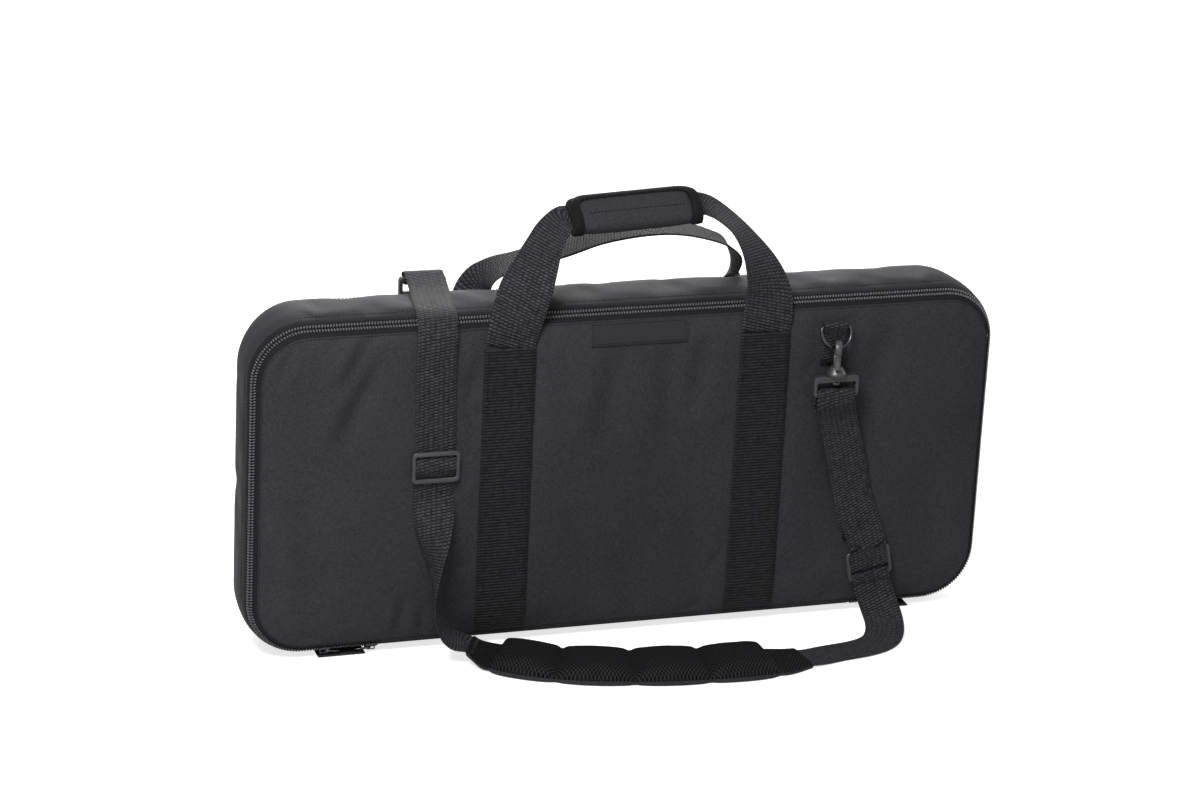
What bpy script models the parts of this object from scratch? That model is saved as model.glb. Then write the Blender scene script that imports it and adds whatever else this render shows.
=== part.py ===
"""Soft padded carry case with a zipped lid, two handles and a shoulder strap.

The case stands on its long side. X runs along its length, the lid faces -Y and Z is up.
Sizes are in metres. Depths are measured back from the lid's seam plane.
"""
import math

import bmesh
import bpy
from mathutils import Matrix, Vector

for old in list(bpy.data.objects):
    bpy.data.objects.remove(old, do_unlink=True)

# Case body: the seam outline of the lid drives everything else.
SEAM_HALF_LENGTH = 0.363
SEAM_HEIGHT = 0.307
CORNER_RADIUS = 0.045
CASE_DEPTH = 0.096
BULGE_OUT = 0.013
BULGE_FRONT = 0.032
BULGE_BACK_IN = 0.032
BACK_EDGE_OUT = 0.007
BACK_EDGE_IN = 0.010
BACK_TAPER = 0.010
BACK_SEAM_OUT = 0.0008
BACK_SEAM_GAP = 0.0005
BACK_PANEL_INSET = 0.0002
CORNER_STEPS = 8

# Cloth, foam and lining.
SHELL = 0.002
PANEL_EDGE = 0.0016
CROWN_STEPS = ((0.006, 0.0026), (0.010, 0.0020), (0.016, 0.0014))
WALL_OFFSET = 0.001
LINING = 0.001
LID_FOAM = 0.0074
LINING_GAP = 0.0006
GAP = 0.0003

# Zip: a sloping band from the lid seam to the front edge of the gusset.
RIDGE_OUT = 0.010
RIDGE_DEPTH = 0.017
RIDGE_GAP = 0.0008
TRAY_GAP = 0.0015
ZIP_END_IN = 0.1195
ZIP_END_GAP = 0.0008
ZIP_CENTRE = 0.0085
ZIP_HALF_GAP = 0.00025
TAPE_START = 0.0012
TAPE_THICK = 0.001
BEAD_WIDTH = 0.0022
BEAD_HEIGHT = 0.0024
HINGE_THICK = 0.0014

# Zip sliders, pulls and end tabs.
SLIDER_LENGTH = 0.011
SLIDER_WALL = 0.0012
SLIDER_CLEAR = 0.0003
SLIDER_LEFT_IN = 0.067
SLIDER_RIGHT_IN = 0.113
PULL_WIRE = 0.0008
PULL_LENGTH = 0.0175
PULL_WIDTH = 0.0068
PULL_SAG = 3.5
PULL_CLEAR = 0.00025
BRIDGE_HEIGHT = 0.0029
BRIDGE_WALL = 0.0009
TAB_IN = 0.084
TAB_WIDTH = 0.046
TAB_THICK = 0.001
TAB_FLOOR_GAP = 0.0001

# Handle webbing.
BAND_X = 0.127
BAND_WIDTH = 0.050
BAND_THICK = 0.0018
BAND_TOP_DROP = 0.020
BAND_FOOT = 0.002
HANDLE_FOOT_GAP = 0.00096
HANDLE_FOLD_GAP = 0.0003
GRIP_LENGTH = 0.126
GRIP_DEPTH = 0.058
GRIP_HEIGHT = 0.020
GRIP_BINDING = 0.008
BINDING_EXTRA = 0.0007
GRIP_CENTRE_DEPTH = 0.030
GRIP_RISE = 0.092
BACK_LOOP_DEPTH = 0.065
BACK_LOOP_RISE = 0.061

# Label patch.
LABEL_WIDTH = 0.097
LABEL_HEIGHT = 0.022
LABEL_THICK = 0.0012
LABEL_DROP = 0.0015

# Ring, tab and snap hook. Their own frame starts at the ring's bar on the panel:
# Z runs along the strap and -Y away from the panel.
RING_IN = 0.166
RING_BAR_DROP = 0.016
RING_BAR_OUT = 0.0041
RING_WIRE = 0.0016
RING_INNER = 0.027
RING_DROP = 0.0215
RING_LEAN = 24.0
RING_TAB_WIDTH = 0.025
RING_TAB_THICK = 0.0014
RING_TAB_LENGTH = 0.040
HOOK_OUT = 0.0135
HOOK_TURN = -18.0
HOOK_EYE = 0.0072
HOOK_LIMB = 0.0045
HOOK_WIDTH = 0.0068
EYE_DROP = 0.0208
BELL_DROP = 0.0375
BELL_HEIGHT = 0.009
BELL_RADIUS = 0.010
PIN_RADIUS = 0.0025
PIN_CLEAR = 0.0003
FRAME_WIDTH = 0.046
FRAME_THICK = 0.0068
FRAME_TOP_BAR = 0.0065
FRAME_WINDOW = 0.0095
FRAME_LOW_BAR = 0.005
BACK_HOOK_IN = 0.185
BACK_RING_DROP = 0.053

# Shoulder strap, slides and pad.
STRAP_WIDTH = 0.038
STRAP_THICK = 0.0015
SLIDE_WIDTH = 0.046
SLIDE_HEIGHT = 0.031
SLIDE_THICK = 0.003
SLIDE_BAR = 0.0045
SLIDE_CENTRE_BAR = 0.006
SLIDE_CLEAR = 0.0005
TURN_CLEAR = 0.0008
STRAP_SIDE_CLEAR = 0.0006
STRAP_FLOOR_GAP = 0.0002
STRAP_TOP_GAP = 0.0005
LEFT_SLIDE_IN = 0.1663
LEFT_SLIDE_DROP = 0.131
LEFT_SLIDE_STAND = 0.005
RIGHT_SLIDE_IN = 0.1145
RIGHT_SLIDE_Z = 0.057
RIGHT_SLIDE_STAND = 0.0082
RIGHT_SLIDE_TILT = 11.0
PAD_THICK = 0.016
PAD_EDGE = 0.006
PAD_END_THICK = 0.005
PAD_CHANNEL = 0.0085
PAD_WIDTH = 0.066
PAD_END_WIDTH = 0.044

# Places that follow from the sizes above. Names that end in IN are measured in from the case's end.
FRONT = -CASE_DEPTH / 2
BULGE_BACK = CASE_DEPTH - BULGE_BACK_IN
BACK_EDGE_DEPTH = CASE_DEPTH - BACK_EDGE_IN
ZIP_END_X = SEAM_HALF_LENGTH - ZIP_END_IN
SLIDER_LEFT_X = SLIDER_LEFT_IN - SEAM_HALF_LENGTH
SLIDER_RIGHT_X = SLIDER_RIGHT_IN - SEAM_HALF_LENGTH
TAB_X = SEAM_HALF_LENGTH - TAB_IN
RING_X = SEAM_HALF_LENGTH - RING_IN
BACK_HOOK_X = BACK_HOOK_IN - SEAM_HALF_LENGTH
LEFT_SLIDE_X = LEFT_SLIDE_IN - SEAM_HALF_LENGTH
RIGHT_SLIDE_X = SEAM_HALF_LENGTH - RIGHT_SLIDE_IN
SEAM_BOTTOM = BULGE_OUT
SEAM_TOP = SEAM_BOTTOM + SEAM_HEIGHT
BACK_FACE_DEPTH = CASE_DEPTH - BACK_PANEL_INSET
CROWN = sum(rise for inset, rise in CROWN_STEPS)
PANEL_FLAT = CROWN + PANEL_EDGE / 2
BAND_SLOPE = math.hypot(RIDGE_DEPTH, RIDGE_OUT)
ALONG_BAND = (RIDGE_DEPTH / BAND_SLOPE, RIDGE_OUT / BAND_SLOPE)
OUT_OF_BAND = (-ALONG_BAND[1], ALONG_BAND[0])
BAND_TOP = SEAM_TOP - BAND_TOP_DROP
GRIP_CENTRE_Z = SEAM_TOP + GRIP_RISE
EYE_CENTRE_Z = -EYE_DROP
BELL_TOP_Z = -BELL_DROP
BELL_BASE_Z = BELL_TOP_Z - BELL_HEIGHT

part_set = bpy.data.collections.new("telescope_carry_case")
cutter_set = bpy.data.collections.new("cutters")
cutter_set.hide_render = True
bpy.context.scene.collection.children.link(part_set)
bpy.context.scene.collection.children.link(cutter_set)


def make_material(name, red, green, blue, roughness, metallic=0.0):
    material = bpy.data.materials.new(name)
    material.use_nodes = True
    shader = material.node_tree.nodes["Principled BSDF"]
    shader.inputs["Base Color"].default_value = (red, green, blue, 1.0)
    shader.inputs["Roughness"].default_value = roughness
    shader.inputs["Metallic"].default_value = metallic
    return material


CLOTH = make_material("black_nylon_cloth", 0.042, 0.042, 0.045, 0.85)
FOAM = make_material("grey_foam", 0.16, 0.16, 0.17, 0.95)
LINING_CLOTH = make_material("dark_lining_cloth", 0.06, 0.06, 0.065, 0.8)
TAPE = make_material("woven_zip_tape", 0.035, 0.035, 0.037, 0.8)
WEBBING = make_material("polypropylene_webbing", 0.028, 0.028, 0.03, 0.75)
MESH = make_material("spacer_mesh", 0.02, 0.02, 0.022, 0.9)
PLASTIC = make_material("moulded_acetal", 0.06, 0.06, 0.062, 0.45)
METAL = make_material("dark_nickel_wire", 0.3, 0.3, 0.31, 0.3, 1.0)
LOOP_PILE = make_material("loop_pile_patch", 0.03, 0.03, 0.032, 0.95)


def apply_to_mesh(source, name):
    """Evaluate an object's curve or modifiers into a plain closed mesh."""
    graph = bpy.context.evaluated_depsgraph_get()
    graph.update()
    mesh = bpy.data.meshes.new_from_object(source.evaluated_get(graph))
    mesh.transform(source.matrix_world)
    mesh.name = name
    cleaner = bmesh.new()
    cleaner.from_mesh(mesh)
    bmesh.ops.remove_doubles(cleaner, verts=cleaner.verts, dist=0.000002)
    bmesh.ops.recalc_face_normals(cleaner, faces=cleaner.faces)
    cleaner.to_mesh(mesh)
    cleaner.free()
    return mesh


def add_part(name, mesh, material):
    mesh.materials.clear()
    mesh.materials.append(material)
    part = bpy.data.objects.new(name, mesh)
    part_set.objects.link(part)
    return part


def link_temporary(name, data):
    item = bpy.data.objects.new(name, data)
    cutter_set.objects.link(item)
    return item


def drop(*items):
    for item in items:
        bpy.data.objects.remove(item, do_unlink=True)


def poly_curve(name, loops, cyclic=True):
    """A flat curve in its own XY plane with one spline per loop."""
    curve = bpy.data.curves.new(name, "CURVE")
    curve.dimensions = "2D"
    curve.fill_mode = "NONE"
    for loop in loops:
        spline = curve.splines.new("POLY")
        spline.points.add(len(loop) - 1)
        for point, place in zip(spline.points, loop):
            point.co = (place[0], place[1], 0.0, 1.0)
        spline.use_cyclic_u = cyclic
    return curve


UPRIGHT = Matrix.Rotation(math.radians(90), 4, "X")


def rounded_rectangle(low_x, high_x, low_z, high_z, radius, steps):
    """Counter-clockwise corner points of a rounded rectangle."""
    corners = (
        (high_x - radius, high_z - radius, 0),
        (low_x + radius, high_z - radius, 90),
        (low_x + radius, low_z + radius, 180),
        (high_x - radius, low_z + radius, 270),
    )
    points = []
    for centre_x, centre_z, start in corners:
        for step in range(steps + 1):
            angle = math.radians(start + 90 * step / steps)
            points.append((centre_x + radius * math.cos(angle), centre_z + radius * math.sin(angle)))
    return points


def seam_outline(offset=0.0):
    """The lid's seam line, moved outwards by an offset."""
    return rounded_rectangle(
        -SEAM_HALF_LENGTH - offset,
        SEAM_HALF_LENGTH + offset,
        SEAM_BOTTOM - offset,
        SEAM_TOP + offset,
        CORNER_RADIUS + offset,
        CORNER_STEPS,
    )


def zip_route(end_x):
    """Clockwise open route round the lid from the bottom left to the bottom right."""
    loop = seam_outline()
    turned = loop[3 * (CORNER_STEPS + 1):] + loop[:3 * (CORNER_STEPS + 1)]
    turned.reverse()
    return [(-end_x, SEAM_BOTTOM)] + turned + [(end_x, SEAM_BOTTOM)]


def sweep(name, route, profile, closed, material):
    """Sweep a (depth, out) profile along a route in the XZ plane."""
    section = [(-out, -depth) for depth, out in profile]
    shape = link_temporary(name + "_profile", poly_curve(name + "_profile", [section]))
    curve = poly_curve(name + "_route", [route], closed)
    curve.bevel_mode = "OBJECT"
    curve.bevel_object = shape
    curve.use_fill_caps = not closed
    rail = link_temporary(name + "_route", curve)
    rail.matrix_world = Matrix.Translation((0.0, FRONT, 0.0)) @ UPRIGHT
    mesh = apply_to_mesh(rail, name)
    drop(rail, shape)
    return add_part(name, mesh, material)


def plate(name, loops, thickness, edge, matrix, material):
    """Fill flat loops (outline first, then windows), thicken and soften the edges."""
    curve = poly_curve(name, loops)
    curve.fill_mode = "BOTH"
    curve.extrude = thickness / 2 - edge
    curve.bevel_depth = edge
    curve.bevel_resolution = 1
    curve.offset = -edge
    blank = link_temporary(name + "_blank", curve)
    blank.matrix_world = matrix
    mesh = apply_to_mesh(blank, name)
    drop(blank)
    return add_part(name, mesh, material)


def panel_slab(name, offset, near, far, material):
    """A flat slab with the seam outline, between two depths."""
    middle = FRONT + (near + far) / 2
    matrix = Matrix.Translation((0.0, middle, 0.0)) @ UPRIGHT
    return plate(name, [seam_outline(offset)], far - near, 0.0, matrix, material)


def crowned_panel(name, inner_depth, outwards, material):
    """A padded panel: flat inside, with a crown that rolls off towards its seam."""
    shape = bmesh.new()
    base = FRONT + inner_depth
    edge = base + outwards * PANEL_EDGE
    ring = [shape.verts.new((x, edge, z)) for x, z in seam_outline()]
    face = shape.faces.new(ring)
    face.normal_update()
    if face.normal.y * outwards < 0:
        face.normal_flip()
    for inset, rise in CROWN_STEPS:
        bmesh.ops.inset_region(
            shape, faces=[face], thickness=inset, depth=rise, use_even_offset=True, use_boundary=True
        )
    rim = [item for item in shape.edges if item.is_boundary]
    wall = bmesh.ops.extrude_edge_only(shape, edges=rim)
    lower = [item for item in wall["geom"] if isinstance(item, bmesh.types.BMVert)]
    for vertex in lower:
        vertex.co.y = base
    loop = [item for item in wall["geom"] if isinstance(item, bmesh.types.BMEdge)]
    closing = [item for item in loop if all(vertex in lower for vertex in item.verts)]
    bmesh.ops.contextual_create(shape, geom=closing)
    bmesh.ops.recalc_face_normals(shape, faces=shape.faces)
    mesh = bpy.data.meshes.new(name)
    shape.to_mesh(mesh)
    shape.free()
    return add_part(name, mesh, material)


def crown_at(distance):
    """Height of a panel's crown at a distance in from its seam."""
    height = PANEL_EDGE / 2
    start = 0.0
    for inset, rise in CROWN_STEPS:
        share = min(max((distance - start) / inset, 0.0), 1.0)
        height += rise * share
        start += inset
    return height


def catmull(values, steps):
    """Smooth a list of vectors with a fixed number of steps between them."""
    padded = [2 * values[0] - values[1]] + values + [2 * values[-1] - values[-2]]
    smooth = []
    for index in range(1, len(padded) - 2):
        before, start, end, after = padded[index - 1:index + 3]
        for step in range(steps):
            t = step / steps
            smooth.append(
                0.5 * (
                    2 * start
                    + (end - before) * t
                    + (2 * before - 5 * start + 4 * end - after) * t * t
                    + (3 * start - before - 3 * end + after) * t * t * t
                )
            )
    return smooth + [values[-1]]


def ribbon(name, keys, width, thickness, steps, material):
    """Flat webbing through (point, width direction) keys, thickened both ways."""
    points = catmull([Vector(point) for point, across in keys], steps)
    directions = catmull([Vector(across) for point, across in keys], steps)
    rows = []
    for index, point in enumerate(points):
        ahead = points[min(index + 1, len(points) - 1)] - points[max(index - 1, 0)]
        ahead.normalize()
        across = directions[index].copy()
        if 0 < index < len(points) - 1:
            across -= across.dot(ahead) * ahead
        across.normalize()
        rows.append((point - across * width / 2, point + across * width / 2))
    strip = bmesh.new()
    pairs = [[strip.verts.new(corner) for corner in row] for row in rows]
    for first, second in zip(pairs, pairs[1:]):
        strip.faces.new((first[0], first[1], second[1], second[0]))
    sheet = bpy.data.meshes.new(name + "_sheet")
    strip.to_mesh(sheet)
    strip.free()
    blank = link_temporary(name + "_sheet", sheet)
    thick = blank.modifiers.new("thickness", "SOLIDIFY")
    thick.thickness = thickness
    thick.offset = 0.0
    thick.use_even_offset = True
    mesh = apply_to_mesh(blank, name)
    drop(blank)
    return add_part(name, mesh, material)


def wire(name, points, radius, matrix, material):
    """A closed round wire through points."""
    curve = bpy.data.curves.new(name, "CURVE")
    curve.dimensions = "3D"
    curve.bevel_depth = radius
    curve.bevel_resolution = 2
    spline = curve.splines.new("POLY")
    spline.points.add(len(points) - 1)
    for point, place in zip(spline.points, points):
        point.co = (place[0], place[1], place[2], 1.0)
    spline.use_cyclic_u = True
    blank = link_temporary(name + "_wire", curve)
    blank.matrix_world = matrix
    mesh = apply_to_mesh(blank, name)
    drop(blank)
    return add_part(name, mesh, material)


def turned(name, profile, steps, matrix):
    """Revolve a (radius, height) profile about Z."""
    shape = bmesh.new()
    verts = [shape.verts.new((radius, 0.0, height)) for radius, height in profile]
    for first, second in zip(verts, verts[1:]):
        shape.edges.new((first, second))
    mesh = bpy.data.meshes.new(name)
    shape.to_mesh(mesh)
    shape.free()
    blank = link_temporary(name, mesh)
    screw = blank.modifiers.new("turn", "SCREW")
    screw.steps = steps
    screw.render_steps = steps
    screw.use_merge_vertices = True
    screw.merge_threshold = 0.00001
    blank.matrix_world = matrix
    mesh = apply_to_mesh(blank, name)
    drop(blank)
    return link_temporary(name, mesh)


def combine(part, other, operation):
    """Join or cut a part with a temporary solid."""
    other.display_type = "WIRE"
    step = part.modifiers.new("join", "BOOLEAN")
    step.operation = operation
    step.solver = "EXACT"
    step.object = other
    mesh = apply_to_mesh(part, part.name)
    part.modifiers.clear()
    mesh.materials.clear()
    mesh.materials.append(part.data.materials[0])
    part.data = mesh
    part.matrix_world = Matrix.Identity(4)
    drop(other)


def set_origin(part, point):
    """Put a moving piece's origin on its joint axis."""
    place = Vector(point)
    part.data.transform(Matrix.Translation(-place))
    part.location = place


def taper_back(*parts):
    """Draw the tray's ends in towards its back, in proportion to depth."""
    for part in parts:
        for vertex in part.data.vertices:
            share = (vertex.co.y - FRONT) / CASE_DEPTH
            vertex.co.x *= 1.0 - share * BACK_TAPER / SEAM_HALF_LENGTH


# Case tray: gusset band, foam, lining and back panel.
outer_line = (
    (RIDGE_DEPTH + RIDGE_GAP, RIDGE_OUT),
    (BULGE_FRONT, BULGE_OUT),
    (BULGE_BACK, BULGE_OUT),
    (BACK_EDGE_DEPTH, BACK_EDGE_OUT),
    (CASE_DEPTH - BACK_SEAM_GAP, BACK_SEAM_OUT),
)
inner_line = [(depth, out - SHELL) for depth, out in outer_line]
gusset = sweep("gusset", seam_outline(), list(outer_line) + inner_line[::-1], True, CLOTH)

foam_line = [(depth, out - SHELL - GAP) for depth, out in outer_line[:-1]]
foam_base = [(foam_line[-1][0], GAP - WALL_OFFSET), (foam_line[0][0], GAP - WALL_OFFSET)]
gusset_foam = sweep("gusset_foam", seam_outline(), foam_line + foam_base, True, FOAM)

tray_front = RIDGE_DEPTH + TRAY_GAP
case_lining = panel_slab("case_lining", -WALL_OFFSET, tray_front, BACK_EDGE_DEPTH, LINING_CLOTH)
hollow = panel_slab("lining_hollow", -WALL_OFFSET - LINING, 0.0, BACK_EDGE_DEPTH - LINING, LINING_CLOTH)
combine(case_lining, hollow, "DIFFERENCE")

foam_back = CASE_DEPTH - BACK_SEAM_GAP
back_foam = panel_slab("back_foam", -WALL_OFFSET - LINING_GAP, BACK_EDGE_DEPTH + GAP, foam_back, FOAM)
back_panel = crowned_panel("back_panel", BACK_FACE_DEPTH, 1, CLOTH)

# Zip tapes, hinge strip and lid.


def band_point(along, out):
    """A (depth, out) place on the sloping zip band."""
    return (
        along * ALONG_BAND[0] + out * OUT_OF_BAND[0],
        along * ALONG_BAND[1] + out * OUT_OF_BAND[1],
    )


def tape_profile(seam_side, bead_side):
    step = math.copysign(BEAD_WIDTH, seam_side - bead_side)
    shape = (
        (seam_side, 0.0),
        (bead_side, 0.0),
        (bead_side, BEAD_HEIGHT),
        (bead_side + step, BEAD_HEIGHT),
        (bead_side + step, TAPE_THICK),
        (seam_side, TAPE_THICK),
    )
    return [band_point(along, out) for along, out in shape]


zip_tape_lid = sweep(
    "zip_tape_lid", zip_route(ZIP_END_X), tape_profile(TAPE_START, ZIP_CENTRE - ZIP_HALF_GAP), False, TAPE
)
zip_tape_case = sweep(
    "zip_tape_case", zip_route(ZIP_END_X), tape_profile(BAND_SLOPE, ZIP_CENTRE + ZIP_HALF_GAP), False, TAPE
)
hinge_shape = (
    (TAPE_START, 0.0), (BAND_SLOPE, 0.0), (BAND_SLOPE, HINGE_THICK), (TAPE_START, HINGE_THICK)
)
hinge_end = ZIP_END_X - ZIP_END_GAP
hinge_strip = sweep(
    "hinge_strip",
    [(hinge_end, SEAM_BOTTOM), (-hinge_end, SEAM_BOTTOM)],
    [band_point(along, out) for along, out in hinge_shape],
    False,
    CLOTH,
)

lid_panel = crowned_panel("lid_panel", PANEL_EDGE / 2, -1, CLOTH)
foam_front = PANEL_EDGE / 2 + GAP
lid_foam = panel_slab("lid_foam", -WALL_OFFSET, foam_front, foam_front + LID_FOAM, FOAM)
lining_front = foam_front + LID_FOAM + GAP
lid_lining = panel_slab("lid_lining", -WALL_OFFSET, lining_front, lining_front + LINING, LINING_CLOTH)

taper_back(gusset, gusset_foam, case_lining, back_foam, back_panel)

# Webbing bands on both panels, then the handles that continue them.


def band_keys(x, side):
    """Keys of a sewn band that follows the panel's crown from bottom to top."""
    stops = [BAND_FOOT, CROWN_STEPS[0][0], CROWN_STEPS[0][0] + CROWN_STEPS[1][0]]
    stops.append(stops[-1] + CROWN_STEPS[2][0])
    heights = [SEAM_BOTTOM + stop for stop in stops]
    heights += [SEAM_TOP - stops[3], BAND_TOP]
    keys = []
    for height in heights:
        distance = min(height - SEAM_BOTTOM, SEAM_TOP - height)
        lift = crown_at(distance) + GAP + BAND_THICK / 2
        depth = -lift if side < 0 else BACK_FACE_DEPTH + PANEL_EDGE / 2 + lift
        keys.append(((x, FRONT + depth, height), (1.0, 0.0, 0.0)))
    return keys


for side, word in ((-1, "front"), (1, "back")):
    for sign, hand in ((-1, "left"), (1, "right")):
        ribbon(
            word + "_band_" + hand, band_keys(sign * BAND_X, side), BAND_WIDTH, BAND_THICK, 1, WEBBING
        )

FOOT_LIFT = crown_at(SEAM_TOP - BAND_TOP) + GAP + BAND_THICK / 2
FOOT_Z = BAND_TOP + HANDLE_FOOT_GAP
FRONT_FOOT_DEPTH = -FOOT_LIFT
BACK_FOOT_DEPTH = BACK_FACE_DEPTH + PANEL_EDGE / 2 + FOOT_LIFT
# Each handle folds about its outer face, so that it can lie on its own bands.
FOLD_Z = BAND_TOP + HANDLE_FOOT_GAP / 2
FOLD_OUT = BAND_THICK / 2 + HANDLE_FOLD_GAP


def loop_keys(half):
    """Mirror half a handle, given from its left foot to its middle."""
    left = [((x, FRONT + depth, z), across) for x, depth, z, across in half]
    right = []
    for (x, y, z), across in left[::-1]:
        right.append(((-x, y, z), (-across[0], across[1], across[2])))
    return left + right


grip_end = GRIP_LENGTH / 2
front_half = (
    (-BAND_X, FRONT_FOOT_DEPTH, FOOT_Z, (1.0, 0.0, 0.0)),
    (-BAND_X + 0.004, FRONT_FOOT_DEPTH + 0.0004, SEAM_TOP + 0.002, (1.0, -0.02, 0.05)),
    (-BAND_X + 0.012, 0.0, SEAM_TOP + GRIP_RISE * 0.33, (0.96, -0.20, 0.16)),
    (-BAND_X + 0.023, GRIP_CENTRE_DEPTH * 0.30, SEAM_TOP + GRIP_RISE * 0.62, (0.82, -0.50, 0.28)),
    (-BAND_X + 0.036, GRIP_CENTRE_DEPTH * 0.63, SEAM_TOP + GRIP_RISE * 0.84, (0.55, -0.80, 0.22)),
    (-grip_end - 0.016, GRIP_CENTRE_DEPTH - 0.003, GRIP_CENTRE_Z - 0.004, (0.18, -0.98, 0.08)),
    (-grip_end - 0.006, GRIP_CENTRE_DEPTH, GRIP_CENTRE_Z, (0.0, -1.0, 0.0)),
    (-grip_end, GRIP_CENTRE_DEPTH, GRIP_CENTRE_Z, (0.0, -1.0, 0.0)),
    (-grip_end / 3, GRIP_CENTRE_DEPTH, GRIP_CENTRE_Z, (0.0, -1.0, 0.0)),
)
front_handle = ribbon("front_handle", loop_keys(front_half), BAND_WIDTH, BAND_THICK, 3, WEBBING)

back_loop_z = SEAM_TOP + BACK_LOOP_RISE
back_half = (
    (-BAND_X, BACK_FOOT_DEPTH, FOOT_Z, (1.0, 0.0, 0.0)),
    (-BAND_X + 0.001, BACK_FOOT_DEPTH - 0.0002, SEAM_TOP + 0.002, (1.0, 0.0, 0.03)),
    (-BAND_X + 0.006, BACK_FOOT_DEPTH - 0.004, SEAM_TOP + BACK_LOOP_RISE * 0.36, (0.97, -0.12, 0.2)),
    (-BAND_X + 0.016, BACK_LOOP_DEPTH + 0.028, SEAM_TOP + BACK_LOOP_RISE * 0.62, (0.80, -0.50, 0.33)),
    (-BAND_X + 0.034, BACK_LOOP_DEPTH + 0.015, SEAM_TOP + BACK_LOOP_RISE * 0.82, (0.46, -0.86, 0.22)),
    (-BAND_X + 0.060, BACK_LOOP_DEPTH + 0.004, back_loop_z - 0.003, (0.12, -0.99, 0.05)),
    (-BAND_X + 0.095, BACK_LOOP_DEPTH, back_loop_z, (0.0, -1.0, 0.0)),
)
back_handle = ribbon("back_handle", loop_keys(back_half), BAND_WIDTH, BAND_THICK, 3, WEBBING)


def grip_loops(extra):
    half_y = GRIP_DEPTH / 2 + extra
    half_z = GRIP_HEIGHT / 2 + extra
    slot_y = BAND_WIDTH / 2 + GAP
    slot_z = BAND_THICK / 2 + GAP
    outer = rounded_rectangle(-half_y, half_y, -half_z, half_z, half_z * 0.92, 5)
    slot = [(-slot_y, -slot_z), (-slot_y, slot_z), (slot_y, slot_z), (slot_y, -slot_z)]
    return [outer, slot]


def grip_piece(name, x, length, extra, edge):
    across = Matrix.Rotation(math.radians(90), 4, "Z") @ UPRIGHT
    place = Matrix.Translation((x, FRONT + GRIP_CENTRE_DEPTH, GRIP_CENTRE_Z))
    return plate(name, grip_loops(extra), length, edge, place @ across, CLOTH)


wrap_length = GRIP_LENGTH - 2 * GRIP_BINDING - 2 * GAP
binding_x = GRIP_LENGTH / 2 - GRIP_BINDING / 2
grip_parts = [
    grip_piece("grip_wrap", 0.0, wrap_length, 0.0, 0.0),
    grip_piece("grip_binding_left", -binding_x, GRIP_BINDING, BINDING_EXTRA, 0.0),
    grip_piece("grip_binding_right", binding_x, GRIP_BINDING, BINDING_EXTRA, 0.0),
]
for piece in [front_handle] + grip_parts:
    set_origin(piece, (0.0, FRONT + FRONT_FOOT_DEPTH - FOLD_OUT, FOLD_Z))
set_origin(back_handle, (0.0, FRONT + BACK_FOOT_DEPTH + FOLD_OUT, FOLD_Z))

# Label patch on the lid's upper roll.
label_top = SEAM_TOP - LABEL_DROP
first_roll = SEAM_TOP - CROWN_STEPS[0][0]
second_roll = first_roll - CROWN_STEPS[1][0]
label_stops = (label_top, first_roll, second_roll, label_top - LABEL_HEIGHT)
label_keys = []
for stop in label_stops:
    lift = crown_at(SEAM_TOP - stop) + GAP + LABEL_THICK / 2
    label_keys.append(((0.0, FRONT - lift, stop), (1.0, 0.0, 0.0)))
ribbon("label_patch", label_keys, LABEL_WIDTH, LABEL_THICK, 1, LOOP_PILE)


# Ring, tab and snap hook: built once in front of the lid, and once flipped onto the back.


def arc(centre, radius, start, end, steps):
    points = []
    for step in range(steps + 1):
        angle = math.radians(start + (end - start) * step / steps)
        points.append((centre[0] + radius * math.cos(angle), centre[1] + radius * math.sin(angle)))
    return points


def ring_tab(name, matrix):
    """Webbing folded round the ring's bar and sewn flat below it."""
    inner = -GAP - RING_TAB_THICK / 2
    bar = -RING_BAR_OUT
    loop = arc((bar, 0.0), RING_BAR_OUT + inner, 0, 180, 6)
    low = -RING_TAB_LENGTH
    outer = inner - RING_TAB_THICK - GAP
    path = [(inner, low), (inner, -0.010)] + loop
    path += [(outer - 0.0016, -0.007), (outer, -0.014), (outer, low + 0.002)]
    across = matrix.to_3x3() @ Vector((1.0, 0.0, 0.0))
    keys = [(matrix @ Vector((0.0, depth, z)), across) for depth, z in path]
    return ribbon(name, keys, RING_TAB_WIDTH, RING_TAB_THICK, 1, WEBBING)


def ring(name, matrix):
    """D-ring wire: a straight bar in the tab and a round bow through the hook's eye."""
    half = RING_INNER / 2 + RING_WIRE
    corner = 0.004
    bow = [(-half, -RING_DROP * 0.35), (-half, -corner)]
    bow += [(-half + corner * 0.3, -corner * 0.3), (-half + corner, 0.0)]
    bow += [(half - corner, 0.0), (half - corner * 0.3, -corner * 0.3)]
    bow += [(half, -corner), (half, -RING_DROP * 0.35)]
    drop_length = RING_DROP * 0.65
    for step in range(1, 12):
        angle = math.pi * step / 12
        bow.append((half * math.cos(angle), -RING_DROP * 0.35 - drop_length * math.sin(angle)))
    lean = Matrix.Rotation(math.radians(-RING_LEAN), 4, "X")
    place = Matrix.Translation((0.0, -RING_BAR_OUT, 0.0))
    points = [(x, 0.0, z) for x, z in bow]
    return wire(name, points, RING_WIRE, matrix @ place @ lean, METAL)


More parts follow.
